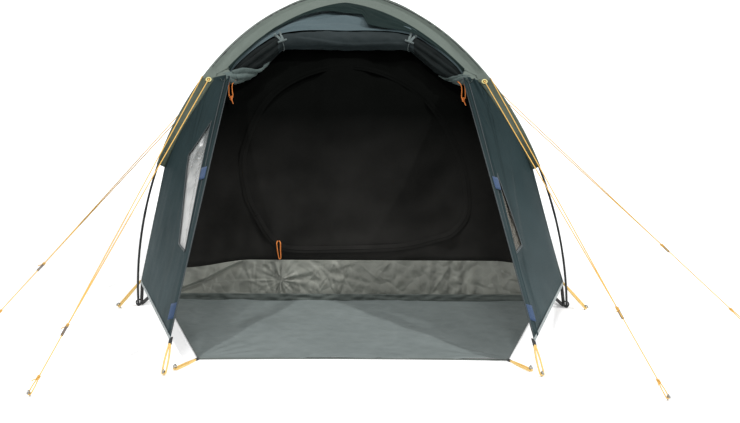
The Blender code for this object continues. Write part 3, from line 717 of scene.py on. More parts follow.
def weld(made, distance=1e-6):
    select_only(made)
    bpy.ops.object.mode_set(mode="EDIT")
    bpy.ops.mesh.select_all(action="SELECT")
    bpy.ops.mesh.remove_doubles(threshold=distance)
    bpy.ops.object.mode_set(mode="OBJECT")


def circle(radius, sides=8):
    turn = np.linspace(0, math.tau, sides, endpoint=False)
    return np.stack([np.cos(turn), np.sin(turn)], axis=-1) * radius


def flat_ring(width, thick, steps=3):
    """The outline of a tape, with rounded edges."""
    turn = np.linspace(-math.pi / 2, math.pi / 2, steps + 2)
    half, edge = width / 2 - thick / 2, thick / 2
    right = np.stack([half + edge * np.cos(turn), edge * np.sin(turn)], axis=-1)
    return np.concatenate([right, -right])


def smooth_through(points, steps):
    """A smooth line through the given points."""
    points = np.array(points, float)
    line = []
    for index in range(len(points) - 1):
        before, start = points[max(index - 1, 0)], points[index]
        end, after = points[index + 1], points[min(index + 2, len(points) - 1)]
        for step in range(steps):
            t = step / steps
            line.append(0.5 * (2 * start + (end - before) * t
                               + (2 * before - 5 * start + 4 * end - after) * t ** 2
                               + (3 * start - before - 3 * end + after) * t ** 3))
    return np.array(line + [points[-1]])


def select_only(*made):
    bpy.ops.object.select_all(action="DESELECT")
    for thing in made:
        thing.select_set(True)
    bpy.context.view_layer.objects.active = made[0]


def join(name, pieces):
    """Several pieces as one object, which keeps the material of each."""
    select_only(*pieces)
    bpy.ops.object.join()
    made = bpy.context.object
    made.name = made.data.name = name
    return made


def settle():
    """Puts the last piece that an operator added at the origin, its place in its mesh."""
    made = bpy.context.object
    bpy.ops.object.transform_apply(location=True, rotation=True, scale=True)
    return made


def paint(made, finish):
    made.data.materials.clear()
    made.data.materials.append(FINISHES[finish])
    return made


def fit(made, slot, *nodes):
    """Rides a finished piece on the tent, in the place of the solids that it stands for."""
    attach(made, "root")
    if nodes:
        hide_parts(*nodes)
    return made


# The shape of the dome


def leg_axis(angle):
    """The pole's axis on the leg in the +X +Y quarter."""
    return spot(HALF_WIDTH * np.cos(angle), HALF_DEPTH * np.cos(angle),
                POLE_HEIGHT * np.sin(angle))


def leg_outward(angle):
    level, rise = np.cos(angle) / HALF_DIAGONAL, np.sin(angle) / POLE_HEIGHT
    return unit(spot(level * HALF_WIDTH / HALF_DIAGONAL, level * HALF_DEPTH / HALF_DIAGONAL, rise))


def fly_corner(angle):
    """Where the cloth turns the corner under a leg."""
    outward = leg_outward(angle)
    side = unit(spot(np.cos(angle) / HALF_WIDTH, 0, np.sin(angle) / POLE_HEIGHT))
    inset = (SLEEVE_RADIUS + SOLID_CLOTH + 2 * GAP) / np.sum(outward * side, axis=-1)
    return leg_axis(angle) - inset[..., None] * outward


def fly_edge(angle):
    """The corner seam of the cloth: below the sleeve's foot it runs straight to the hem."""
    angle = np.asarray(angle, float)
    level = unit(np.array((HALF_WIDTH, HALF_DEPTH, 0.0)))
    slack = SEAM_SLACK * (1 - smooth_step((angle - SLEEVE_FOOT_ANGLE) / SEAM_SLACK_OVER))
    above = fly_corner(angle) - slack[..., None] * level
    foot = fly_corner(np.array(SLEEVE_FOOT_ANGLE)) - SEAM_SLACK * level
    hem = fly_corner(np.array(HEM_ANGLE))
    share = (above[..., 2:] - hem[2]) / (foot[2] - hem[2])
    return np.where((angle < SLEEVE_FOOT_ANGLE)[..., None], hem + (foot - hem) * share, above)


def inner_corner(angle):
    return spot(INNER_HALF_WIDTH * np.cos(angle), INNER_HALF_DEPTH * np.cos(angle),
                INNER_HEIGHT * np.sin(angle))


def on_side(direction, x, y, height, along, sag=0.0):
    """A point of one of four sides, at a share along it, laid so that its cloth faces out."""
    return {
        "front": lambda: spot(x * along, -y + sag, height),
        "rear": lambda: spot(-x * along, y - sag, height),
        "left": lambda: spot(-x + sag, -y * along, height),
        "right": lambda: spot(x - sag, y * along, height),
    }[direction]()


def dome_wall(direction, corner, low, high, dip=0.0):
    """place() for one of the four walls between two legs."""

    def place(across, up):
        x, y, z = np.moveaxis(corner(low + (high - low) * up), -1, 0)
        along = 2 * across - 1
        return on_side(direction, x, y, z, along, dip * np.sin(math.pi * up) * (1 - along ** 2))

    return place


def seam_angle(across):
    return SEAM_TOP_ANGLE - SEAM_DROP * (np.abs(across) / SEAM_DROP_AT) ** SEAM_POWER


def brow_point(across, angle):
    """A point on the cloth between the two front legs."""
    point = fly_corner(angle)
    return spot(across, -point[..., 1], point[..., 2])


def brow(across, up):
    """From the seam, up is 0, to the legs, up is 1."""
    side = np.where(across < 0.5, -1, 1)
    inward = 1 - np.abs(2 * across - 1)
    seam_at = SEAM_END * (1 - inward)
    leg_angle = RING_ANGLE + (TOP - RING_ANGLE) * inward
    leg_at = fly_corner(leg_angle)[..., 0]
    angle = seam_angle(seam_at) * (1 - up) + leg_angle * up
    return brow_point(side * (seam_at * (1 - up) + leg_at * up), angle)


def wing_point(across, up):
    """On the left wing: across is 0 at the pole and 1 at the door, up is 0 at the hem."""
    height = HEM_HEIGHT + (POLE_HEIGHT * math.sin(RING_ANGLE) - HEM_HEIGHT) * up
    pole_side = fly_edge(np.arcsin(height / POLE_HEIGHT)) * (-1, -1, 1)
    door_side = DOOR_FOOT + (DOOR_TOP - DOOR_FOOT) * np.asarray(up)[..., None]
    return pole_side + (door_side - pole_side) * np.asarray(across)[..., None]


def around_window(u, v):
    """Spreads a three by three pattern so that its middle is the window."""
    grid = np.zeros((4, 4, 2))
    for i in range(4):
        for j in range(4):
            inner = WINDOW[min(max(j - 1, 0), 1)][min(max(i - 1, 0), 1)]
            grid[i, j, 0] = i / 3 if i in (0, 3) else inner[0]
            grid[i, j, 1] = j / 3 if j in (0, 3) else inner[1]
    i = np.minimum((u * 3 + 1e-6).astype(int), 2)
    j = np.minimum((v * 3 + 1e-6).astype(int), 2)
    s, t = (u * 3 - i)[..., None], (v * 3 - j)[..., None]
    low = grid[i, j] * (1 - s) + grid[i + 1, j] * s
    high = grid[i, j + 1] * (1 - s) + grid[i + 1, j + 1] * s
    both = low * (1 - t) + high * t
    return both[..., 0], both[..., 1]


def mirrored(place, side):
    """The same cloth for the right side, laid the other way round so that it faces out."""
    if side < 0:
        return place
    return lambda across, up: place(1 - across, up) * (-1, 1, 1)


def crossing_hump(x, y):
    """How far the second pole rises to pass over the first."""
    return (2 * POLE_RADIUS + 2 * GAP) * np.exp(-(np.hypot(x, y) / CROSSING_REACH) ** 2)


# Sizes and colours that a user would change


class TentCloth(bpy.types.PropertyGroup):
    pucker: FloatProperty(
        name="Pucker", description="Height of the small folds along each sewn seam",
        default=0.0035, min=0.0, max=0.02, unit="LENGTH",
    )
    billow: FloatProperty(
        name="Billow", description="Height of the broad swells in the cloth",
        default=0.006, min=0.0, max=0.03, unit="LENGTH",
    )
    crinkle: FloatProperty(
        name="Crinkle", description="Height of the creases in the tub's walls",
        default=0.0054, min=0.0, max=0.02, unit="LENGTH",
    )


def picked_colour(name, description, hex_text):
    """A colour to pick: the first of the two that a finish is mixed from."""
    return FloatVectorProperty(
        name=name, description=description, default=linear(hex_text)[:3],
        min=0.0, max=1.0, subtype="COLOR",
    )


class TentColours(bpy.types.PropertyGroup):
    flysheet: picked_colour("Flysheet", "Colour of the flysheet's cloth", "#606a63")
    wings: picked_colour("Wings", "Colour of the porch wings' cloth", "#1c2a2c")
    bedroom: picked_colour("Bedroom", "Colour of the bedroom's cloth", "#060706")
    tub: picked_colour("Tub", "Colour of the bedroom's groundsheet", "#70726a")
    porch_floor: picked_colour("Porch floor", "Colour of the porch groundsheet", "#6b7372")
    tags: picked_colour("Tags", "Colour of the tags on the wings", "#2a4a72")
    guys: picked_colour("Guy lines", "Colour of the guy lines", "#d4992b")
    pulls: picked_colour("Zip pulls", "Colour of the zips' pulls", "#f0701a")


class TentStudio(bpy.types.PropertyGroup):
    floor_colour: picked_colour("Floor", "Colour of the studio floor", "#fbfbfb")
    sky: FloatProperty(
        name="Fill", description="Strength of the even light from all round",
        default=0.52, min=0.0, max=5.0,
    )
    key: FloatProperty(
        name="Key", description="Strength of the lights that cross the porch",
        default=1.1, min=0.0, max=20.0,
    )


# Stage


class TENT_OT_camera(bpy.types.Operator):
    """Stands the camera where the photograph was taken"""

    bl_idname = "tent.camera"
    bl_label = "Camera"

    def execute(self, context):
        bpy.ops.object.camera_add(location=CAMERA_PLACE)
        camera = context.object
        turn = (
            Matrix.Rotation(CAMERA_YAW, 4, "Z")
            @ Matrix.Rotation(math.pi / 2 - CAMERA_PITCH, 4, "X")
            @ Matrix.Rotation(CAMERA_ROLL, 4, "Z")
        )
        camera.rotation_euler = turn.to_euler()
        camera.data.lens = CAMERA_LENS
        camera.data.sensor_width = SENSOR_WIDTH
        context.scene.camera = camera
        return {"FINISHED"}


class TENT_OT_stage(bpy.types.Operator):
    """Adds the pale floor and the studio light"""

    bl_idname = "tent.stage"
    bl_label = "Floor and light"

    def execute(self, context):
        studio = context.scene.tent_studio
        bpy.ops.mesh.primitive_plane_add(size=FLOOR_SIZE, location=(0, 0, -FLOOR_DROP))
        floor = context.object
        floor.name = "studio_floor"
        made, tree, shader = new_material("matt_floor")
        shader.inputs["Base Color"].default_value = linear(studio.floor_colour)
        shader.inputs["Roughness"].default_value = 0.9
        shader.inputs["Emission Color"].default_value = (1.0, 1.0, 1.0, 1.0)
        shader.inputs["Emission Strength"].default_value = FLOOR_GLOW
        floor.data.materials.append(made)
        world = bpy.data.worlds.new("studio")
        context.scene.world = world
        world.use_nodes = True
        back = world.node_tree.nodes["Background"]
        back.inputs["Color"].default_value = (1.0, 1.0, 1.0, 1.0)
        # The camera sees a white backdrop, and the tent gets studio.sky of light from it
        seen = add(world.node_tree, "LightPath").outputs["Is Camera Ray"]
        strength = add(world.node_tree, "Math", {0: seen, 1: 1.0 - studio.sky, 2: studio.sky},
                       operation="MULTIPLY_ADD")
        world.node_tree.links.new(strength.outputs[0], back.inputs["Strength"])
        for travel, share, spread in SUNS:
            bpy.ops.object.light_add(type="SUN", location=(0.0, 0.0, 5.0))
            light = context.object
            light.data.energy = studio.key * share
            light.data.angle = math.radians(spread)
            light.rotation_euler = Vector(travel).to_track_quat("-Z", "Y").to_euler()
        context.scene.view_settings.view_transform = "Standard"
        return {"FINISHED"}


# Cords


def guy_ends(side_x, side_y):
    """Where a guy's two cords leave the tent: at an eyelet beside the sleeve, and at the sleeve."""
    turn = np.array((side_x, side_y, 1))
    angle = EYELET_ANGLE - EYELET_LOW
    aside = EYELET_ASIDE - EYELET_OUT
    corner = fly_corner(np.array(angle))
    axis = leg_axis(np.array(angle))
    inward = axis - (aside, aside, 0)
    level, rise = math.cos(angle), math.sin(angle)
    if side_y < 0:
        face = unit(np.array((0, POLE_HEIGHT * level, HALF_DEPTH * rise)))
        crest = axis + (POLE_RADIUS + SLEEVE_EASE) * face
        edge = crest * (0, 1, 1) + (axis[0] - SLEEVE_REACH, 0, 0)
        edge = edge - (crest - corner).dot(face) * face + MIDDLE * face
        eyelet = (crest + (edge - crest) * aside / SLEEVE_REACH + 0.0005 * face) * turn
        face = face * turn
    else:
        across = (1 - inward[1] / corner[1]) / 2
        wall = dome_wall("left", fly_corner, HEM_ANGLE, TOP, SIDE_DIP)
        place = wall(1 - across, (angle - HEM_ANGLE) / (TOP - HEM_ANGLE))
        eyelet = np.array((side_x * -place[0], inward[1], place[2]))
        face = unit(np.array((side_x * POLE_HEIGHT * level, 0, HALF_WIDTH * rise)))
    away = leg_outward(RING_ANGLE) * turn
    if side_y > 0:
        away = away + unit(np.array((HALF_DEPTH, -HALF_WIDTH, 0))) * turn
    return (
        eyelet + (SOLID_CLOTH + GUY_RADIUS) * face, face,
        leg_axis(RING_ANGLE) * turn + (SLEEVE_RADIUS + GUY_RADIUS) * unit(away),
    )


def loop_line(start, peg, spread):
    """A loop from a knot or a tab to round the far side of a peg."""
    run = unit(peg - start)
    level = unit(np.array((-run[1], run[0], 0.0)))
    far = peg + 1.1 * spread * run
    corners = [
        start + 0.3 * spread * level, (start + peg) / 2 + spread * level, peg + spread * level,
        far + 0.45 * spread * level, far - 0.45 * spread * level,
        peg - spread * level, (start + peg) / 2 - spread * level, start - 0.3 * spread * level,
    ]
    return smooth_through(corners, 4)


def knot(name, place, run, radius, finish, turns=3, steps=38):
    """An overhand knot: a cord that winds round itself, with its tail."""
    run = unit(run)
    side = unit(np.cross(run, (0.3, 0.2, 1.0)))
    rise = np.cross(run, side)
    turn = np.linspace(0, turns * math.tau, steps)
    coil = (
        place + np.outer(np.linspace(-4.2, 4.2, steps) * radius, run)
        + 2.0 * radius * (np.outer(np.cos(turn), side) + np.outer(np.sin(turn), rise))
    )
    tail = smooth_through([coil[-1], coil[-1] + 2.5 * radius * side + 2 * radius * run,
                           coil[-1] + 5 * radius * side + 6 * radius * run], 4)
    pieces = [
        paint(sweep(f"{name}_coil", coil, circle(radius, 7)), finish),
        paint(sweep(f"{name}_tail", tail, circle(radius * 0.9, 7)), finish),
    ]
    return join(name, pieces)


def slider(name, place, run, across):
    """A line runner: a flat bar, bowed a little, with a hole for the cord at each end."""
    bpy.ops.object.select_all(action="DESELECT")
    bpy.ops.mesh.primitive_cube_add(size=1.0)
    bar = bpy.context.object
    bar.name = name
    bar.scale = (SLIDER_LENGTH, SLIDER_WIDTH, SLIDER_THICK)
    settle()
    bpy.ops.object.mode_set(mode="EDIT")
    bpy.ops.mesh.subdivide(number_cuts=7)
    bpy.ops.object.mode_set(mode="OBJECT")
    bevel = bar.modifiers.new("rounded edges", "BEVEL")
    bevel.width = 0.0018
    bevel.segments = 3
    bpy.ops.object.modifier_apply(modifier=bevel.name)
    for at in (-0.38, 0.38):
        bpy.ops.mesh.primitive_cylinder_add(
            vertices=16, radius=SLIDER_HOLE, depth=0.02, location=(at * SLIDER_LENGTH, 0, 0),
        )
        hole = bpy.context.object
        cut = bar.modifiers.new("hole", "BOOLEAN")
        cut.operation = "DIFFERENCE"
        cut.object = hole
        select_only(bar)
        bpy.ops.object.modifier_apply(modifier=cut.name)
        bpy.data.objects.remove(hole, do_unlink=True)
    for point in bar.data.vertices:
        point.co.z += SLIDER_BOW * (1 - (point.co.x / (SLIDER_LENGTH / 2)) ** 2)
    face = unit(np.cross(run, across))
    turn = Matrix(np.array((unit(run), unit(across), face)).T.tolist()).to_4x4()
    place = lean_over(place)
    bar.data.transform(Matrix.Translation(place.tolist()) @ turn)
    bar.data.shade_smooth()
    bar.data.set_sharp_from_angle(angle=math.radians(35))
    return paint(bar, "slider")


class TENT_OT_guy_lines(bpy.types.Operator):
    """Leads each guy from the tent through its slider to a loop round its peg"""

    bl_idname = "tent.guy_lines"
    bl_label = "Guy lines"

    def execute(self, context):
        for name, (peg, slider_at) in GUYS.items():
            eyelet, face, sleeve = guy_ends(*CORNERS[name])
            middle = (eyelet + sleeve) / 2
            hold = np.array(peg) + (0, 0, 0.010)
            run = unit(hold - middle)
            across = eyelet - sleeve
            across = unit(across - across.dot(run) * run)
            at = middle + (hold - middle) * slider_at
            top = at - 0.42 * SLIDER_LENGTH * run
            tie = hold - LOOP_LENGTH * run
            parts = []
            for part, line in (
                ("eyelet_cord", np.linspace(eyelet, top, 24)),
                ("sleeve_cord", np.linspace(sleeve, top, 24)),
                ("lower_cord", np.linspace(at - 0.3 * SLIDER_LENGTH * run, tie, 12)),
                ("loop", loop_line(tie, hold, PEG_RADIUS + GUY_RADIUS)),
            ):
                made = sweep(part, line, circle(GUY_RADIUS, 8), closed=part == "loop")
                parts.append(paint(made, "guy"))
            parts.append(knot("lower_knot", tie, run, GUY_RADIUS, "guy"))
            parts.append(knot("upper_knot", top, run, GUY_RADIUS, "guy"))
            cords = join(f"guy_{name}_cords", parts)
            fit(cords, "guy_cord", f"guy_line_{name}")
            fit(slider(f"guy_{name}_slider", at, run, across), "webbing")
            fit(self.eyelet(f"guy_{name}_eyelet", eyelet - 0.6 * GUY_RADIUS * face, face),
                "guy_cord")
        return {"FINISHED"}

    def eyelet(self, name, place, face):
        """A moulded ring set in the cloth, with a bead of the cord's knot in it."""
        bpy.ops.mesh.primitive_torus_add(
            major_radius=EYELET_RADIUS, minor_radius=EYELET_WIRE, major_segments=28,
            minor_segments=10,
        )
        ring = bpy.context.object
        bpy.ops.mesh.primitive_uv_sphere_add(segments=16, ring_count=10, radius=BEAD_RADIUS)
        bpy.context.object.scale = (1.0, 1.0, 0.6)
        bead = settle()
        made = join(name, [paint(ring, "eyelet"), paint(bead, "guy")])
        made.data.shade_smooth()
        turn = Vector(face).to_track_quat("Z", "Y").to_matrix().to_4x4()
        made.data.transform(Matrix.Translation(lean_over(place).tolist()) @ turn)
        return made


class TENT_OT_zip_pulls(bpy.types.Operator):
    """Hangs a loop of orange cord from each zip"""

    bl_idname = "tent.zip_pulls"
    bl_label = "Zip pulls"

    def execute(self, context):
        for name, side in SIDES.items():
            ends = []
            for across in DOOR_PULL_ENDS:
                centre, radius, upper, front = roll_at(across)
                below = unit(0.9 * front - 0.44 * upper)
                ends.append(centre + below * (radius * 0.93 + PULL_RADIUS))
            hung = [
                (across, DOOR_PULL_FRONT, ends[0][2] - DOOR_PULL_DROP * drop)
                for across, drop in DOOR_PULL
            ]
            line = smooth_through([ends[0], *hung, ends[1]], 6)
            line = (line + (DOOR_PULL_ASIDE, 0, 0)) * (side, 1, 1)
            self.pull(f"door_zip_pull_{name}", line, knotted=True)
        heights = [height for _, height in INNER_PULL]
        high, low = max(heights), min(heights)
        top, foot = (inner_corner(math.asin(z / INNER_HEIGHT))[1] for z in (high, low))
        top += INNER_PULL_OFF_WALL
        points = []
        for across, height in INNER_PULL:
            wall = top + (foot - top) * smooth_step((high - height) / INNER_PULL_LEANS_OVER)
            points.append((across, -wall - SOLID_CLOTH - PULL_RADIUS - 3 * GAP, height))
        self.pull("inner_zip_pull", smooth_through(points, 6))
        return {"FINISHED"}

    def pull(self, node, line, knotted=False):
        made = paint(sweep(f"{node}_cord", line, circle(PULL_RADIUS, 9)), "pull")
        fit(made, "pull_cord", node)
        pieces = []
        if knotted:
            low = line[np.argmin(line[:, 2])]
            pieces.append(knot(f"{node}_knot", low, np.array((0, 0, -1)), PULL_RADIUS, "pull"))
            fit(pieces[0], "pull_cord")
        lean_over(line[0]).tolist()
        lean_over(line).tolist()


# Poles and sleeves


class TENT_OT_poles(bpy.types.Operator):
    """Bends the two poles over each other"""

    bl_idname = "tent.poles"
    bl_label = "Poles"

    def execute(self, context):
        for name, turn in (("pole_left_to_right", 1), ("pole_right_to_left", -1)):
            line = leg_axis(np.linspace(0, math.pi, 121)) * (1, turn, 1)
            if turn < 0:
                line[:, 2] += crossing_hump(line[:, 0], line[:, 1])
            far = run_lengths(line, 0)
            # Each pole is made of pieces, joined by ferrules that are a little thicker
            off = (far + POLE_PIECE / 2) % POLE_PIECE - POLE_PIECE / 2
            swell = 1 + FERRULE_SWELL * np.exp(-(off / FERRULE_HALF) ** 4)
            ring = circle(POLE_RADIUS, 14)[None] * swell[:, None, None]
            rod = paint(sweep(f"{name}_rod", line, ring), "pole")
            fit(rod, "pole_glass_fibre", name)
        return {"FINISHED"}


def sleeve_net(side_x, side_y, rows=150):
    """A flat tunnel of cloth: the pole runs in one edge, and the other is sewn to the cloth."""
    turn = np.array((side_x, side_y, 1))
    angle = np.linspace(SLEEVE_FOOT_ANGLE, SLEEVE_TOP_ANGLE, rows)
    axis, outward, corner = leg_axis(angle), leg_outward(angle), fly_edge(angle)
    front = unit(spot(0, np.cos(angle) / HALF_DEPTH, np.sin(angle) / POLE_HEIGHT))
    flank = unit(spot(np.cos(angle) / HALF_WIDTH, 0, np.sin(angle) / POLE_HEIGHT))
    far = run_lengths(axis, 0)
    reach = np.interp(angle, (SLEEVE_FOOT_ANGLE, RING_ANGLE - 0.1, RING_ANGLE, RING_ANGLE + 0.05),
                      (0.036, 0.056, SLEEVE_REACH, SLEEVE_TOP_REACH))
    if side_y > 0:
        reach = np.full(rows, SLEEVE_TOP_REACH)
    wide = np.minimum(reach - (axis - corner)[:, 0], corner[:, 0] * 0.8)
    hug = POLE_RADIUS + SLEEVE_EASE
    sunk = np.where(angle < RING_ANGLE + 0.03, 0.001, -0.005)
    inner = corner + spot(-wide, 0, 0) + front * (MIDDLE + sunk)[:, None]
    if side_y < 0:
        up = (corner[:, 2] - HEM_HEIGHT) / (POLE_HEIGHT * math.sin(RING_ANGLE) - HEM_HEIGHT)
        whole = np.linalg.norm(wing_point(1.0, up) - wing_point(0.0, up), axis=-1)
        on_wing = wing_surface(wide / whole, up, MIDDLE + SLEEVE_EASE) * (-1, -1, 1)
        inner = np.where((angle < RING_ANGLE)[:, None], on_wing, inner)
    outer = corner + spot(0, -0.012 + 0 * wide, 0) + flank * (MIDDLE + SLEEVE_EASE)
    # Over the flat to the pole, half round the pole, and back to the seam behind it
    rings = []
    for step in np.linspace(0, 1, 7)[:-1]:
        sag = 0.0018 * math.sin(math.pi * step)
        ripple = 0.0006 * math.sin(math.pi * step) * rumple(far, step + 0 * far, 0.035, 5 + side_x)
        rings.append(inner + (axis + hug * front - inner) * step - front * (sag + ripple)[:, None])
    for step in np.linspace(0, 1, 7):
        bulge = outward * 0.8 * math.sin(math.pi * step)
        rings.append(axis + hug * unit(front * (1 - step) + flank * step + bulge))
    rings.append((outer + axis + hug * flank) / 2)
    rings.append(outer)
    rings.append(corner + outward * (MIDDLE + 0.002))
    rings.append((corner + inner) / 2 - front * 0.0008 + outward * 0.0004)
    points = np.stack(rings, axis=1) * turn
    if side_x * side_y < 0:
        points[..., 2] += crossing_hump(points[..., 0], points[..., 1])
        points = points[:, ::-1]
    around = np.concatenate([points, points[:, :1]], axis=1)
    uv = np.stack([run_lengths(around, 1), np.broadcast_to(far[:, None], around.shape[:2])], -1)
    return points, uv


class TENT_OT_sleeves(bpy.types.Operator):
    """Sews a sleeve over each leg of the poles"""

    bl_idname = "tent.sleeves"
    bl_label = "Pole sleeves"

    def execute(self, context):
        for name, (side_x, side_y) in CORNERS.items():
            points, uv = sleeve_net(side_x, side_y)
            made = net_object(f"sleeve_{name}", lean_over(points), uv, wrap=True)
            thicken(made, THIN_CLOTH)
            paint(made, "fly")
            # Below the ring, the front sleeves take the darker finish: painted shade
            made.data.materials.append(FINISHES["sleeve"])
            for face in made.data.polygons:
                low = face.center.z < POLE_HEIGHT * math.sin(RING_ANGLE)
                face.material_index = int(low and side_y < 0)
            fit(made, "flysheet_cloth", f"pole_sleeve_{name}")
        return {"FINISHED"}


# Flysheet


class TENT_OT_flysheet(bpy.types.Operator):
    """Draws the side and rear walls of the flysheet between the poles"""

    bl_idname = "tent.flysheet"
    bl_label = "Flysheet walls"

    def execute(self, context):
        look = context.scene.tent_cloth
        for seed, direction in enumerate(("left", "right", "rear")):
            def relief(cloth, seed=seed):
                seam = np.exp(-cloth.side / 0.07) * rumple(cloth.t, cloth.side * 0.6, 0.055, seed)
                seam = seam * smooth_step(cloth.side / 0.04)
                hem = np.exp(-cloth.foot / 0.10) * rumple(cloth.s, 0 * cloth.s, 0.16, seed + 5)
                width = cloth.s[0, -1]
                pull = sum(
                    rays(cloth.s, cloth.t, (end * width, 0.0), 9, 0.30, seed + 9)
                    for end in (-1, 1)
                )
                broad = rumple(cloth.s, cloth.t, 0.55, seed + 14, stretch=1.8)
                quiet = np.minimum(cloth.side / 0.05, 1)
                return (look.pucker * seam + 0.7 * look.pucker * hem
                        + 0.006 * pull * quiet + look.billow * broad * quiet)

            place = dome_wall(direction, fly_edge, HEM_ANGLE, TOP, SIDE_DIP)
            made = lay_cloth(f"fly_{direction}_wall", place, 150, 130, relief)
            paint(made, "fly")
            fit(made, "flysheet_cloth", f"flysheet_{direction}")
        return {"FINISHED"}


class TENT_OT_brow(bpy.types.Operator):
    """Lays the roof between the front legs, down to the seam over the door"""

    bl_idname = "tent.brow"
    bl_label = "Brow"

    def execute(self, context):
        look = context.scene.tent_cloth

        def relief(cloth):
            x, y = cloth.points[..., 0], cloth.points[..., 1]
            inside = smooth_step(np.minimum(cloth.foot, cloth.head) / 0.05)
            return inside * (0.3 * look.billow * rumple(x, y, 0.22, 33)
                             + 0.4 * look.pucker * rumple(x, y, 0.07, 31))

        roof = lay_cloth("fly_brow", brow, 260, 26, relief)
        paint(roof, "fly")
        fit(roof, "flysheet_cloth", "brow")
        x = np.linspace(-SEAM_END, SEAM_END, 120)
        seam = sweep("fly_brow_rolled_edge", brow_point(x, seam_angle(x)) + (0, -0.002, 0.001),
                     flat_ring(0.009, 0.0040), up=(0.0, -0.4, 0.9))
        sewn = [fit(paint(seam, "fly"), "flysheet_cloth")]
        for name, side in SIDES.items():
            # A patch covers the seam between the brow and the wing, and laps over both
            def patch(across, up, side=side):
                low = wing_point(1 - across, np.ones_like(across))
                high = brow(np.zeros_like(across), across)
                return (low + (high - low) * (1.35 * up - 0.2)[..., None]) * (-side, 1, 1)

            made = lay_cloth(f"fly_corner_patch_{name}", patch, 24, 10, lift=0.0)
            sewn.append(fit(paint(made, "fly"), "flysheet_cloth"))
        return {"FINISHED"}


# Porch wings


def wing(u, v):
    return wing_point(*around_window(u, v))


def wing_surface(across, up, out):
    """A point that lies out metres outside the left wing."""
    across, up = np.broadcast_arrays(np.asarray(across, float), np.asarray(up, float))
    step = 0.01
    east = wing_point(across + step, up) - wing_point(across - step, up)
    north = wing_point(across, up + step) - wing_point(across, up - step)
    return wing_point(across, up) + out * unit(np.cross(east, north))


class TENT_OT_wings(bpy.types.Operator):
    """Spreads the porch wings, with their bindings, zip flaps and tags"""

    bl_idname = "tent.wings"
    bl_label = "Porch wings"

    def execute(self, context):
        cells = 90
        at = (np.arange(cells) + 0.5) / cells
        middle = np.abs(at - 0.5) < 1 / 6
        for seed, (name, side) in enumerate(SIDES.items()):
            # Long folds run down a wing, and shorter ones fan out below its head
            def relief(cloth, seed=seed, heights=WING_FOLDS[name]):
                across, up = around_window(cloth.across, cloth.up)
                tall = rumple(across, up, 0.42, 40 + seed, stretch=3.0)
                fan = np.exp(-(1 - up) / 0.35) * rumple(across, 0.2 * up, 0.12, 44 + seed)
                small = rumple(across, up, 0.10, 48 + seed, stretch=1.6)
                hole = np.maximum(np.abs(cloth.across - 0.5), np.abs(cloth.up - 0.5)) - 1 / 6
                quiet = smooth_step(cloth.side / 0.08) * smooth_step(hole / 0.06)
                return quiet * (heights[0] * tall + heights[1] * fan + 0.0005 * small)

            # Cloth covers the right window above a slanting fold
            column, row = np.meshgrid(at, at)
            fold = 1 if side < 0 else 1 / 3 + (COVERED_FROM - 1 / 3) * (2 - 3 * column)
            keep = ~(middle[:, None] & middle[None, :] & (row < fold))
            place = mirrored(wing, side)
            made = lay_cloth(f"wing_{name}", place, cells, cells, relief, keep=keep)
            paint(made, "door")
            fit(made, "porch_cloth", f"porch_wing_{name}")
            self.trim(name, side)
        return {"FINISHED"}

    def trim(self, name, side):
        """What is sewn to a wing: each piece lies along a line, facing the way the wing does."""
        sewn = []
        turn = (side * -1, 1, 1)

        def sew(part, line, ring, face, finish, closed=False):
            made = sweep(f"wing_{name}_{part}", line * turn, ring, up=face * turn, closed=closed)
            sewn.append(fit(paint(made, finish), "porch_cloth"))

        up = np.linspace(0.02, 0.985, 70)
        width = WING_HEAD_WIDTH + (WING_FOOT_WIDTH - WING_HEAD_WIDTH) * (1 - up)
        face = wing_surface(0.9, 0.5, 1.0) - wing_surface(0.9, 0.5, 0.0)
        for part, across, out, ring, finish in (
            ("zip_flap", 1 - 0.028 / width, 0.0042, flat_ring(0.030, 0.0018), "door"),
            ("zip_piping", 1.0, 0.0045, flat_ring(0.0055, 0.0045), "piping"),
            ("flap_edge", 1 - 0.045 / width, 0.0046, flat_ring(0.0045, 0.0030), "piping"),
        ):
            sew(part, wing_surface(across, up, out), ring, face, finish)
        hem = wing_surface(np.linspace(0.005, 0.995, 60), 0.0, MIDDLE) + (0, 0, 0.003)
        face = wing_surface(0.5, 0.02, 1.0) - wing_surface(0.5, 0.02, 0.0)
        sew("hem", hem, flat_ring(0.011, 0.003), face, "binding")
        for part, across, height, tall in (("upper", 0.925, UPPER_TAG_AT[name], 0.024),
                                           ("lower", 0.955, LOWER_TAG_AT, 0.026)):
            low, high = wing_surface(across, np.array((height - tall, height + tall)), 0.010)
            sew(f"{part}_tag", np.linspace(low, high, 6), flat_ring(TAG_WIDTH, 0.0012),
                np.array((-0.45, -1.0, 0.2)), "tag")
        corners = [(1 / 3, 1 / 3), (2 / 3, 1 / 3), (2 / 3, 2 / 3), (1 / 3, 2 / 3), (1 / 3, 1 / 3)]
        if side > 0:
            corners[2:4] = [(2 / 3, COVERED_FROM)]
        u, v = np.concatenate([np.linspace(a, b, 16, endpoint=False)
                               for a, b in zip(corners, corners[1:])]).T
        line = wing(u, v) + (wing_surface(0.75, 0.5, 0.0026) - wing_surface(0.75, 0.5, 0.0))
        sew("window_frame", line, flat_ring(0.009, 0.0022), face, "piping", closed=True)
        return sewn


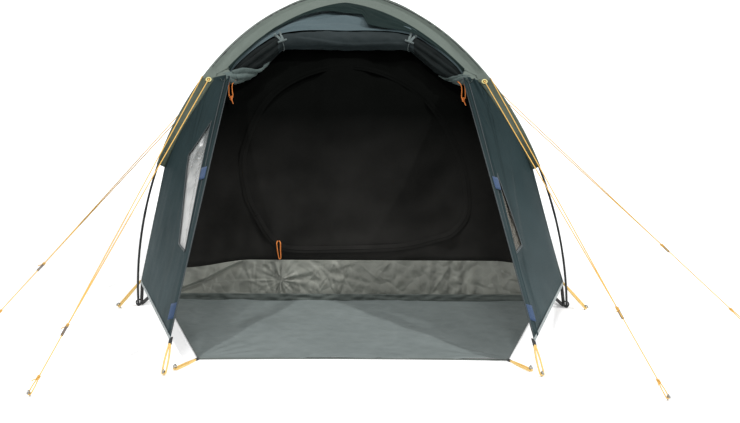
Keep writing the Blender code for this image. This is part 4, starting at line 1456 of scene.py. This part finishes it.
class TENT_OT_windows(bpy.types.Operator):
    """Sets a rumpled clear film in each wing"""

    bl_idname = "tent.windows"
    bl_label = "Windows"

    def execute(self, context):
        for seed, (name, side) in enumerate(SIDES.items()):
            def pane(u, v):
                low, high = 1 / 3 - PANE_LAP, 2 / 3 + PANE_LAP
                return wing(low + (high - low) * u, low + (high - low) * v)

            def relief(cloth, seed=seed):
                inside = np.minimum(cloth.side, np.minimum(cloth.foot, cloth.head))
                quiet = smooth_step((inside - 0.02) / 0.05)
                swell = rumple(cloth.s, cloth.t, 0.09, 60 + seed, stretch=2.2)
                sharp = creased(cloth.s, cloth.t, 0.06, 62 + seed, 2.0, stretch=1.6)
                return quiet * (0.003 * swell + 0.004 * sharp - PANE_SAG)

            made = lay_cloth(
                f"window_{name}_film", mirrored(pane, side), 40, 84, relief,
                lift=-PANE_OFFSET - 0.001, thick=0.0005,
            )
            paint(made, f"film_{name}")
            fit(made, "window_film", f"window_{name}")
        return {"FINISHED"}


# The door, rolled up


def roll_line(steps=2):
    half = [((-p[0], p[1], p[2]), r) for p, r in reversed(ROLL)] + list(ROLL[1:])
    centres = smooth_through([p for p, _ in half], steps)
    radii = smooth_through([(r, 0, 0) for _, r in half], steps)[:, 0]
    return centres, radii


def roll_at(across):
    """The roll's centre, radius, upper side and front side, at a distance across the tent."""
    centres, radii = roll_line()
    centre = np.array([np.interp(across, centres[:, 0], centres[:, k]) for k in range(3)])
    ahead = unit(np.array([
        np.interp(across + 0.01, centres[:, 0], centres[:, k])
        - np.interp(across - 0.01, centres[:, 0], centres[:, k]) for k in range(3)
    ]))
    upper = unit(np.array((0, 0, 1)) - ahead[2] * ahead)
    return centre, np.interp(across, centres[:, 0], radii), upper, np.cross(ahead, upper)


class TENT_OT_door_head(bpy.types.Operator):
    """Hangs the top of the door flat between the seam and the roll"""

    bl_idname = "tent.door_head"
    bl_label = "Door head"

    def execute(self, context):
        centres, radii = roll_line(8)
        roll_end = ROLL_END - 0.003
        ahead = unit(np.gradient(centres, axis=0))
        upper = unit(np.array((0, 0, 1)) - ahead[:, 2:] * ahead)
        crest = centres + upper * (radii[:, None] + SOLID_CLOTH)

        def head(across, up):
            seam_at = np.where(across < 0.5, -1, 1) * SEAM_END * np.abs(2 * across - 1)
            low = np.stack([
                np.interp(seam_at * roll_end / SEAM_END, centres[:, 0], crest[:, k])
                for k in range(3)
            ], axis=-1)
            high = brow_point(seam_at, seam_angle(seam_at)) + (0, -2 * GAP, -2 * GAP)
            return low + (high - low) * up[..., None]

        def relief(cloth):
            x = cloth.points[..., 0]
            fold = rumple(x, cloth.up * 0.1, 0.16, 71, stretch=3.0)
            long = rumple(0.3 * x, cloth.t, 0.09, 73)
            quiet = np.sin(math.pi * np.clip(cloth.up, 0, 1)) ** 0.5
            return quiet * (0.004 * fold + 0.004 * long)

        flat = lay_cloth("door_flat_head", head, 200, 30, relief)
        # The head takes the lighter finish: painted light
        paint(flat, "head")
        fit(flat, "porch_cloth", "door_head")

        # The dark storm flap: past a narrow strip it is painted shade, as deep as the brow's shadow
        def flap(across, up):
            x = (2 * across - 1) * SEAM_END
            share = np.interp(x, *FLAP_SHADOW_REACH)
            ripple = rumple(x, 0.4 * up, 0.10, 75) * np.sin(math.pi * up)
            hang = 0.009 + 0.005 * up + 0.003 * ripple
            return head(across, 1.0 - share * up) + spot(0, -0.5, 0.85) * hang[..., None]

        made = lay_cloth("door_storm_flap_with_painted_shade", flap, 200, 16, lift=0.0)
        paint(made, "flap")
        fit(made, "porch_cloth")
        return {"FINISHED"}


class TENT_OT_rolled_door(bpy.types.Operator):
    """Rolls the rest of the door into a long soft bundle, pleated towards its ends"""

    bl_idname = "tent.rolled_door"
    bl_label = "Rolled door"

    def execute(self, context):
        centres, radii = roll_line(14)
        far = run_lengths(centres, 0)
        far = far - far[len(far) // 2]
        sides = 56
        turn = np.linspace(0, math.tau, sides, endpoint=False)
        swell = np.full((len(centres), sides), ROLL_CORE)
        drift = rumple(far, 0 * far, 0.5, 81)
        for start, wide, high in LIPS:
            at = start + 0.5 * drift * math.sin(3 * start) + 0.9 * far * math.cos(2 * start)
            apart = (turn[None] - at[:, None] + math.pi) % math.tau - math.pi
            lip = np.exp(-(apart / np.where(apart > 0, 1.6 * wide, LIP_SHARP)) ** 2)
            swell = np.maximum(swell, ROLL_CORE + high * lip)
        ripple = 0.02 * rumple(far[:, None], 0.04 * turn[None], 0.05, 84)
        reach = np.abs(centres[:, 0])[:, None]
        end = smooth_step((reach - 0.28) / 0.10)
        under = np.exp(-((turn[None] - 4.1) / 1.1) ** 2)
        pleat = np.abs(np.sin(3.5 * turn[None] + 6.0 * reach)) ** 0.5 - 0.85
        belly = np.where(centres[:, 0] < 0, 0.16, 0.02)[:, None]
        ripple = ripple + end * (belly * under + 0.42 * pleat)
        ring = np.stack([np.cos(turn), np.sin(turn)], axis=-1)[None] * (
            radii[:, None] * (swell + ripple))[..., None]
        made = sweep("door_roll", centres, ring, up=(0.0, 0.0, 1.0))
        paint(made, "roll")
        # Beyond 0.30 m from the middle, the roll takes the darker finish: painted shade
        made.data.materials.append(FINISHES["roll_end"])
        for face in made.data.polygons:
            face.material_index = int(abs(face.center.x - LEAN * face.center.z) > 0.30)
        fit(made, "porch_cloth", "rolled_door")
        return {"FINISHED"}


class TENT_OT_door_cuffs(bpy.types.Operator):
    """Wraps the pale back of the door round each end of the roll"""

    bl_idname = "tent.door_cuffs"
    bl_label = "Door cuffs"

    def execute(self, context):
        for name, side in SIDES.items():
            start, wide, flat = CUFFS[name]
            across = np.linspace(start, CUFF_TIP, 70)
            centres, radii = roll_line(8)
            line = np.stack([np.interp(across, centres[:, 0], centres[:, k]) for k in range(3)], -1)
            past = np.maximum(across - ROLL_END, 0)
            line += past[:, None] * (1.0, -2.1, 0.3)
            size = wide * np.interp(across, *CUFF_RADIUS)
            first = np.interp((across - start) / (CUFF_TIP - start), *CUFF_EDGE)
            share = np.linspace(0, 1, 70)
            turn = first[:, None] + (CUFF_LAST_TURN - first[:, None]) * share
            pleat = np.abs(np.sin(11.0 * share[None] + 16.0 * across[:, None])) ** 0.5 - 0.7
            fold = 1 + 0.26 * pleat + 0.03 * rumple(across[:, None], 0.05 * turn, 0.05, 90)
            back, rise = along_line(line, (0.0, 0.0, 1.0))
            points = line[:, None] + (size[:, None] * fold)[..., None] * (
                np.cos(turn)[..., None] * back[:, None] + np.sin(turn)[..., None] * rise[:, None])
            uv = np.stack([run_lengths(points, 1), run_lengths(points, 0)], axis=-1)
            made = net_object(f"door_cuff_{name}", lean_over(points * (side, 1, 1)), uv)
            thicken(made, CLOTH)
            paint(made, "reverse")
            fit(made, "porch_cloth")
        return {"FINISHED"}


class TENT_OT_door_ties(bpy.types.Operator):
    """Ties the roll up with two tapes and their toggles"""

    bl_idname = "tent.door_ties"
    bl_label = "Door ties"

    def execute(self, context):
        for name, side in SIDES.items():
            centre, radius, upper, front = roll_at(side * TIE_ACROSS)
            ahead = np.cross(upper, front)
            reach = radius + 0.0035
            tape = flat_ring(TAPE_WIDTH, TAPE_THICK)
            pieces = []
            for shift, lean in ((-0.013, 0.009), (0.012, -0.008)):
                line = []
                for step in np.linspace(0, 1, 14):
                    angle = math.radians(2 + 70 * step)
                    line.append(centre + ahead * (shift + lean * step ** 0.7) + reach * (
                        math.cos(angle) * upper + math.sin(angle) * front))
                line.insert(0, line[0] + 0.012 * upper)
                pieces.append(sweep("tape", smooth_through(line, 2), tape, up=front))
            under = [
                centre + 0.86 * reach * (math.cos(a) * upper + math.sin(a) * front)
                for a in np.radians(np.linspace(80, 300, 22))
            ]
            pieces.append(sweep("lower_tape", under, tape, up=ahead))
            made = join(f"door_tie_{name}_tapes", [paint(p, "tie") for p in pieces])
            fit(made, "tie_cloth", f"door_tie_{name}")
            bpy.ops.mesh.primitive_cylinder_add(
                vertices=20, radius=TOGGLE_RADIUS, depth=TOGGLE_LENGTH,
            )
            bar = bpy.context.object
            bar.name = f"door_tie_{name}_toggle"
            bevel = bar.modifiers.new("rounded ends", "BEVEL")
            bevel.width = 0.0028
            bevel.segments = 3
            bpy.ops.object.modifier_apply(modifier=bevel.name)
            turn = Vector(ahead).to_track_quat("Z", "Y").to_matrix().to_4x4()
            place = lean_over(centre + 0.95 * reach * front + (0.33 * reach) * upper)
            bar.data.transform(Matrix.Translation(place.tolist()) @ turn)
            bar.data.shade_smooth()
            paint(bar, "tie")
            fit(bar, "tie_cloth")
        return {"FINISHED"}


# Bedroom


def tub_top(across):
    """The height of the tub's wall, which is pulled down towards its corners."""
    start = np.where(across < 0, *TUB_DROPS_FROM)
    return TUB_HEIGHT - (TUB_HEIGHT - TUB_CORNER_HEIGHT) * smooth_step(
        (np.abs(across) - start) / TUB_DROPS_OVER)


class TENT_OT_bedroom(bpy.types.Operator):
    """Hangs the black walls of the bedroom, the front one with its zipped door"""

    bl_idname = "tent.bedroom"
    bl_label = "Bedroom"

    def execute(self, context):
        for seed, direction in enumerate(("front", "rear", "left", "right")):
            whole = dome_wall(direction, inner_corner, INNER_ANGLE, INNER_TOP)

            def place(across, up, whole=whole, direction=direction):
                point = whole(across, up)
                wide = point[..., 0] if direction in ("front", "rear") else point[..., 1] * 0.9
                drop = (TUB_HEIGHT - tub_top(wide)) * np.exp(-(point[..., 2] - TUB_HEIGHT) / 0.08)
                point = point - spot(0, 0, 1) * drop[..., None]
                # Above the tub the walls are drawn in, the side ones most, clear of the flysheet
                clear = smooth_step((point[..., 2] - TUB_HEIGHT + 0.02) / 0.06)
                drawn = INNER_SIDE_DRAWN if direction in ("left", "right") else 0
                drawn = drawn * (1 - (2 * across - 1) ** 4) + INNER_DRAWN
                point[..., 0] *= 1 - clear * drawn
                return point

            def relief(cloth, seed=seed):
                quiet = np.minimum(cloth.side / 0.1, 1) * np.minimum(cloth.foot / 0.05, 1)
                hang = rumple(cloth.s, cloth.t, 0.28, 100 + seed, stretch=2.5)
                small = rumple(cloth.s, cloth.t, 0.09, 104 + seed, stretch=1.5)
                return np.minimum(quiet * (0.008 * hang + 0.0025 * small), 0.006)

            made = lay_cloth(f"bedroom_{direction}_wall", place, 90, 80, relief)
            paint(made, "bedroom")
            fit(made, "inner_cloth", f"inner_{direction}_wall")
        self.zip()
        return {"FINISHED"}

    def zip(self):
        """The D of the bedroom door: a low run across, then up and over."""
        line = smooth_through([(x, 0, z) for x, z in ZIP], 10)
        rise = np.arcsin(line[:, 2] / INNER_HEIGHT)
        line[:, 1] = -INNER_HALF_DEPTH * np.cos(rise) - ZIP_OUT
        face = unit(spot(0, -np.cos(rise) / INNER_HALF_DEPTH, np.sin(rise) / INNER_HEIGHT))
        for part, width, thick, out in (("tape", 0.030, 0.0008, 0.0),
                                        ("coil", 0.004, 0.0020, 0.0008)):
            made = sweep(f"bedroom_zip_{part}", line + out * face, flat_ring(width, thick),
                         up=face)
            fit(paint(made, "bedroom"), "inner_cloth")


# Groundsheets


class TENT_OT_groundsheet_tub(bpy.types.Operator):
    """Folds up the crinkled tub and lays the strip along its foot"""

    bl_idname = "tent.groundsheet_tub"
    bl_label = "Groundsheet tub"

    def execute(self, context):
        look = context.scene.tent_cloth
        rim = inner_corner(INNER_ANGLE)
        walls = []
        for seed, (direction, columns) in enumerate(
                (("front", 480), ("rear", 100), ("left", 110), ("right", 110))):
            def place(across, up, direction=direction):
                along = 2 * across - 1
                flare = SOLID_CLOTH + TUB_FLARE * (1 - up) - MIDDLE
                x, y = rim[0] + flare, rim[1] + flare
                end = along * (x if direction in ("front", "rear") else 0.9 * y)
                return on_side(direction, x, y, tub_top(end) * up, along)

            def relief(cloth, seed=seed):
                quiet = np.minimum(cloth.side / 0.02, 1) * smooth_step(
                    (cloth.foot - 0.02) / 0.03) * np.minimum(cloth.head / 0.015, 1)
                width = cloth.s[0, -1]
                box = ((-width, width), (0.0, TUB_HEIGHT))
                sharp = folds(cloth.s, cloth.t, 70, box, 0.055, 124 + seed)
                dense = folds(cloth.s, cloth.t, 36, ((-0.46, 0.05), box[1]), 0.045, 128 + seed)
                fan = rays(cloth.s, cloth.t, (-0.307, 0.09), 9, 0.10, 131 + seed)
                # A deep fold down to the left corner, and hanging pleats near the right one
                over = 0.925 * (cloth.t - 0.175) - 0.381 * (cloth.s + 0.468)
                beyond = smooth_step((-0.44 - cloth.s) / 0.04)
                fold = beyond * np.tanh(over / 0.004) * np.exp(-(over / 0.03) ** 2)
                pleats = np.sin(math.tau * cloth.s / 0.062)
                pleats = pleats * np.exp(-((cloth.s - 0.43) / 0.10) ** 4)
                return quiet * look.crinkle * (0.75 * sharp + 0.6 * dense + 1.2 * fan
                                               + 2.0 * fold + 0.8 * pleats)

            walls.append(lay_cloth(f"tub_{direction}", place, columns, columns // 10, relief,
                                   lift=0.0, thick=THIN_CLOTH))

        def floor(across, up):
            x, y = rim[:2] + (SOLID_CLOTH + TUB_FLARE - MIDDLE)
            return spot((2 * across - 1) * x, (2 * up - 1) * y, THIN_CLOTH + 0 * across)

        walls.append(lay_cloth("tub_floor", floor, 60, 60, lift=0.0, thick=THIN_CLOTH))
        made = join("tub_sheet", walls)
        paint(made, "tub")
        fit(made, "tub_sheet", "groundsheet_tub")
        self.threshold()
        return {"FINISHED"}

    def threshold(self):
        low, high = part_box("threshold_strip")

        def place(across, up):
            x = (2 * across - 1) * THRESHOLD_HALF_WIDTH
            return spot(x, high[1] - 0.0004 - 0.0026 * (1 - up), 0.0008 + (high[2] - 0.0008) * up)

        def relief(cloth):
            quiet = np.sin(math.pi * np.clip(cloth.up, 0, 1))
            return 0.0016 * quiet * rumple(cloth.s, cloth.t, 0.06, 141, stretch=0.5)

        made = lay_cloth("tub_threshold", place, 200, 8, relief, lift=0.0)
        paint(made, "threshold")
        fit(made, "inner_cloth", "threshold_strip")


class TENT_OT_porch_groundsheet(bpy.types.Operator):
    """Lays the porch groundsheet, pulled tight to its two front pegs"""

    bl_idname = "tent.porch_groundsheet"
    bl_label = "Porch groundsheet"

    def execute(self, context):
        rear = float(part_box("threshold_strip")[0][1]) - GAP

        def place(across, up):
            along = 2 * across - 1
            half = PORCH_FRONT[0] + (PORCH_REAR_HALF_WIDTH - PORCH_FRONT[0]) * up
            bow = 0.012 * (1 - along ** 2) * (1 - up)
            back = PORCH_FRONT[1] + (rear - PORCH_FRONT[1]) * up + bow
            return spot(along * half, back, 2 * THIN_CLOTH + 0 * up)

        def relief(cloth):
            x, y = cloth.points[..., 0], cloth.points[..., 1]
            left = rays(x, y, (-PORCH_FRONT[0], PORCH_FRONT[1]), 13, 0.55, 151)
            right = rays(x, y, (PORCH_FRONT[0], PORCH_FRONT[1]), 13, 0.55, 152)
            swell = rumple(x, y, 0.30, 153)
            fold = creased(x + 0.5 * y, y, 0.20, 154, 4.0)
            wave = 0.0021 * swell + 0.0028 * left + 0.0028 * right + 0.0020 * fold
            return np.maximum(wave + 0.0018, 0) * np.minimum(cloth.side / 0.02, 1)

        made = lay_cloth(
            "porch_floor_sheet", place, 170, 120, relief, lift=0.0, thick=THIN_CLOTH,
        )
        paint(made, "porch")
        fit(made, "porch_sheet", "porch_groundsheet")
        line = place(np.linspace(0, 1, 60), np.zeros(60)) + (0, 0, 0.0004)
        edge = sweep("porch_floor_hem", line, flat_ring(0.012, 0.0022), up=(0.0, 0.0, 1.0))
        paint(edge, "threshold")
        fit(edge, "porch_sheet")
        return {"FINISHED"}


# Straps, loops and pegs


def peg_line(place, away):
    level = unit(np.array((away[0], away[1], 0.0)))
    top = place + (0, 0, PEG_SHOWS)
    return smooth_through([
        place, place + (0, 0, PEG_SHOWS * 0.6), top, top + 0.005 * level + (0, 0, 0.005),
        top + 0.012 * level + (0, 0, 0.004), top + 0.015 * level - (0, 0, 0.004),
    ], 4)


class TENT_OT_straps(bpy.types.Operator):
    """Adds the ring and straps at each corner, and every peg and peg loop"""

    bl_idname = "tent.straps"
    bl_label = "Straps and pegs"

    def execute(self, context):
        for name, (side_x, side_y) in CORNERS.items():
            self.corner(name, np.array((side_x, side_y, 1)))
        for name, side in SIDES.items():
            turn = np.array((-side, 1, 1))
            hem = wing_point(1.0, 0.0) * turn
            self.tab(f"wing_peg_loop_{name}", hem, WING_PEG * turn, TAB_LIFT,
                     np.array((0.7 * side, -0.8, 0.6)))
            sheet = np.array((side * PORCH_FRONT[0], PORCH_FRONT[1], STRAP_THICK / 2))
            self.tab(f"sheet_peg_loop_{name}", sheet, SHEET_PEG * turn, 0.004,
                     np.array((0.0, 0.0, 1.0)))
        for name, (peg, _) in GUYS.items():
            away = np.array(peg) - leg_axis(RING_ANGLE) * (*CORNERS[name], 1)
            wire = sweep(f"guy_{name}_peg_wire", peg_line(np.array(peg), away),
                         circle(PEG_RADIUS, 10))
            paint(wire, "steel")
            fit(wire, "peg_steel", f"guy_peg_{name}")
        return {"FINISHED"}

    def pegged(self, name, start, peg, lift):
        """A loop of elastic round a wire peg."""
        hold = peg + (0, 0, lift)
        line = loop_line(start, hold, LOOP_SPREAD)
        loop = paint(sweep(f"{name}_elastic", line, circle(LOOP_RADIUS, 8), closed=True), "loop")
        wire = paint(sweep(f"{name}_peg", peg_line(peg, peg - start), circle(PEG_RADIUS, 10)),
                     "steel")
        return [loop, wire]

    def tab(self, node, corner, peg, lift, normal):
        out = unit(peg + (0, 0, lift) - corner)
        strap = sweep(f"{node}_tab", np.linspace(corner - 0.010 * out, corner + 0.020 * out, 8),
                      flat_ring(TAB_WIDTH, WEB_THICK), up=normal)
        paint(strap, "webbing")
        fit(strap, "webbing", node)
        loop, wire = self.pegged(node, corner + 0.016 * out, peg, lift)
        fit(loop, "guy_cord")
        fit(wire, "peg_steel")

    def corner(self, name, turn):
        node = f"corner_strap_{name}"
        foot = leg_axis(0.0) * turn
        hem = fly_corner(HEM_ANGLE) * turn
        outward = leg_outward(0.0) * turn
        shift = RING_RADIUS - RING_WIRE - POLE_RADIUS - GAP
        centre = foot - shift * outward + (0, 0, RING_WIRE)
        bpy.ops.mesh.primitive_torus_add(
            major_radius=RING_RADIUS, minor_radius=RING_WIRE, major_segments=36, minor_segments=12,
            location=lean_over(centre + (0, 0, RING_LIFT)).tolist(), rotation=(RING_TILT, 0, 0),
        )
        ring = settle()
        ring.name = f"corner_ring_{name}"
        ring.data.shade_smooth()
        paint(ring, "pole")
        fit(ring, "webbing")
        low = foot - (shift + RING_RADIUS) * outward + (0, 0, RING_WIRE)
        top = hem - 0.006 * outward
        web = flat_ring(STRAP_WIDTH, WEB_THICK)
        upright = sweep("upright", np.linspace(low, top, 12), web, up=outward)
        near = np.array((*(inner_corner(INNER_ANGLE)[:2] + SOLID_CLOTH + TUB_FLARE), 0.016)) * turn
        far = centre - (RING_RADIUS - RING_WIRE / 2) * outward
        far[2] = 0.0035
        level = sweep("level", np.linspace(near, far, 10), web, up=(0.0, 0.0, 1.0))
        strap = join(f"corner_webbing_{name}", [paint(part, "webbing") for part in (upright, level)])
        fit(strap, "webbing", node)
        start = top + (turn[0] * STRAP_WIDTH * 0.3, 0, 0.004)
        loop, wire = self.pegged(node, start, CORNER_PEG * turn, TAB_LIFT)
        fit(loop, "guy_cord")
        fit(wire, "peg_steel")


# The add-on


OPERATORS = (
    TENT_OT_camera, TENT_OT_stage, TENT_OT_guy_lines, TENT_OT_zip_pulls, TENT_OT_poles,
    TENT_OT_sleeves, TENT_OT_flysheet, TENT_OT_brow, TENT_OT_wings, TENT_OT_windows,
    TENT_OT_door_head, TENT_OT_rolled_door, TENT_OT_door_cuffs, TENT_OT_door_ties,
    TENT_OT_bedroom, TENT_OT_groundsheet_tub, TENT_OT_porch_groundsheet, TENT_OT_straps,
)


class TENT_PT_panel(bpy.types.Panel):
    """The tent's pieces, in the order that they are made"""

    bl_idname = "TENT_PT_panel"
    bl_label = "Dome tent"
    bl_space_type = "VIEW_3D"
    bl_region_type = "UI"
    bl_category = "Tent"

    def draw(self, context):
        layout = self.layout
        scene = context.scene
        for group in (scene.tent_cloth, scene.tent_colours, scene.tent_studio):
            for name in group.__annotations__:
                layout.prop(group, name)
        for operator in OPERATORS:
            layout.operator(operator.bl_idname)


CLASSES = (TentCloth, TentColours, TentStudio, *OPERATORS, TENT_PT_panel)


def register():
    for each in CLASSES:
        bpy.utils.register_class(each)
    bpy.types.Scene.tent_cloth = PointerProperty(type=TentCloth)
    bpy.types.Scene.tent_colours = PointerProperty(type=TentColours)
    bpy.types.Scene.tent_studio = PointerProperty(type=TentStudio)


def unregister():
    del bpy.types.Scene.tent_studio
    del bpy.types.Scene.tent_colours
    del bpy.types.Scene.tent_cloth
    for each in reversed(CLASSES):
        bpy.utils.unregister_class(each)


def main():
    register()
    bpy.ops.object.select_all(action="DESELECT")
    make_finishes(bpy.context.scene.tent_colours)
    for operator in OPERATORS:
        family, name = operator.bl_idname.split(".")
        getattr(getattr(bpy.ops, family), name)()


if __name__ == "__main__":
    main()
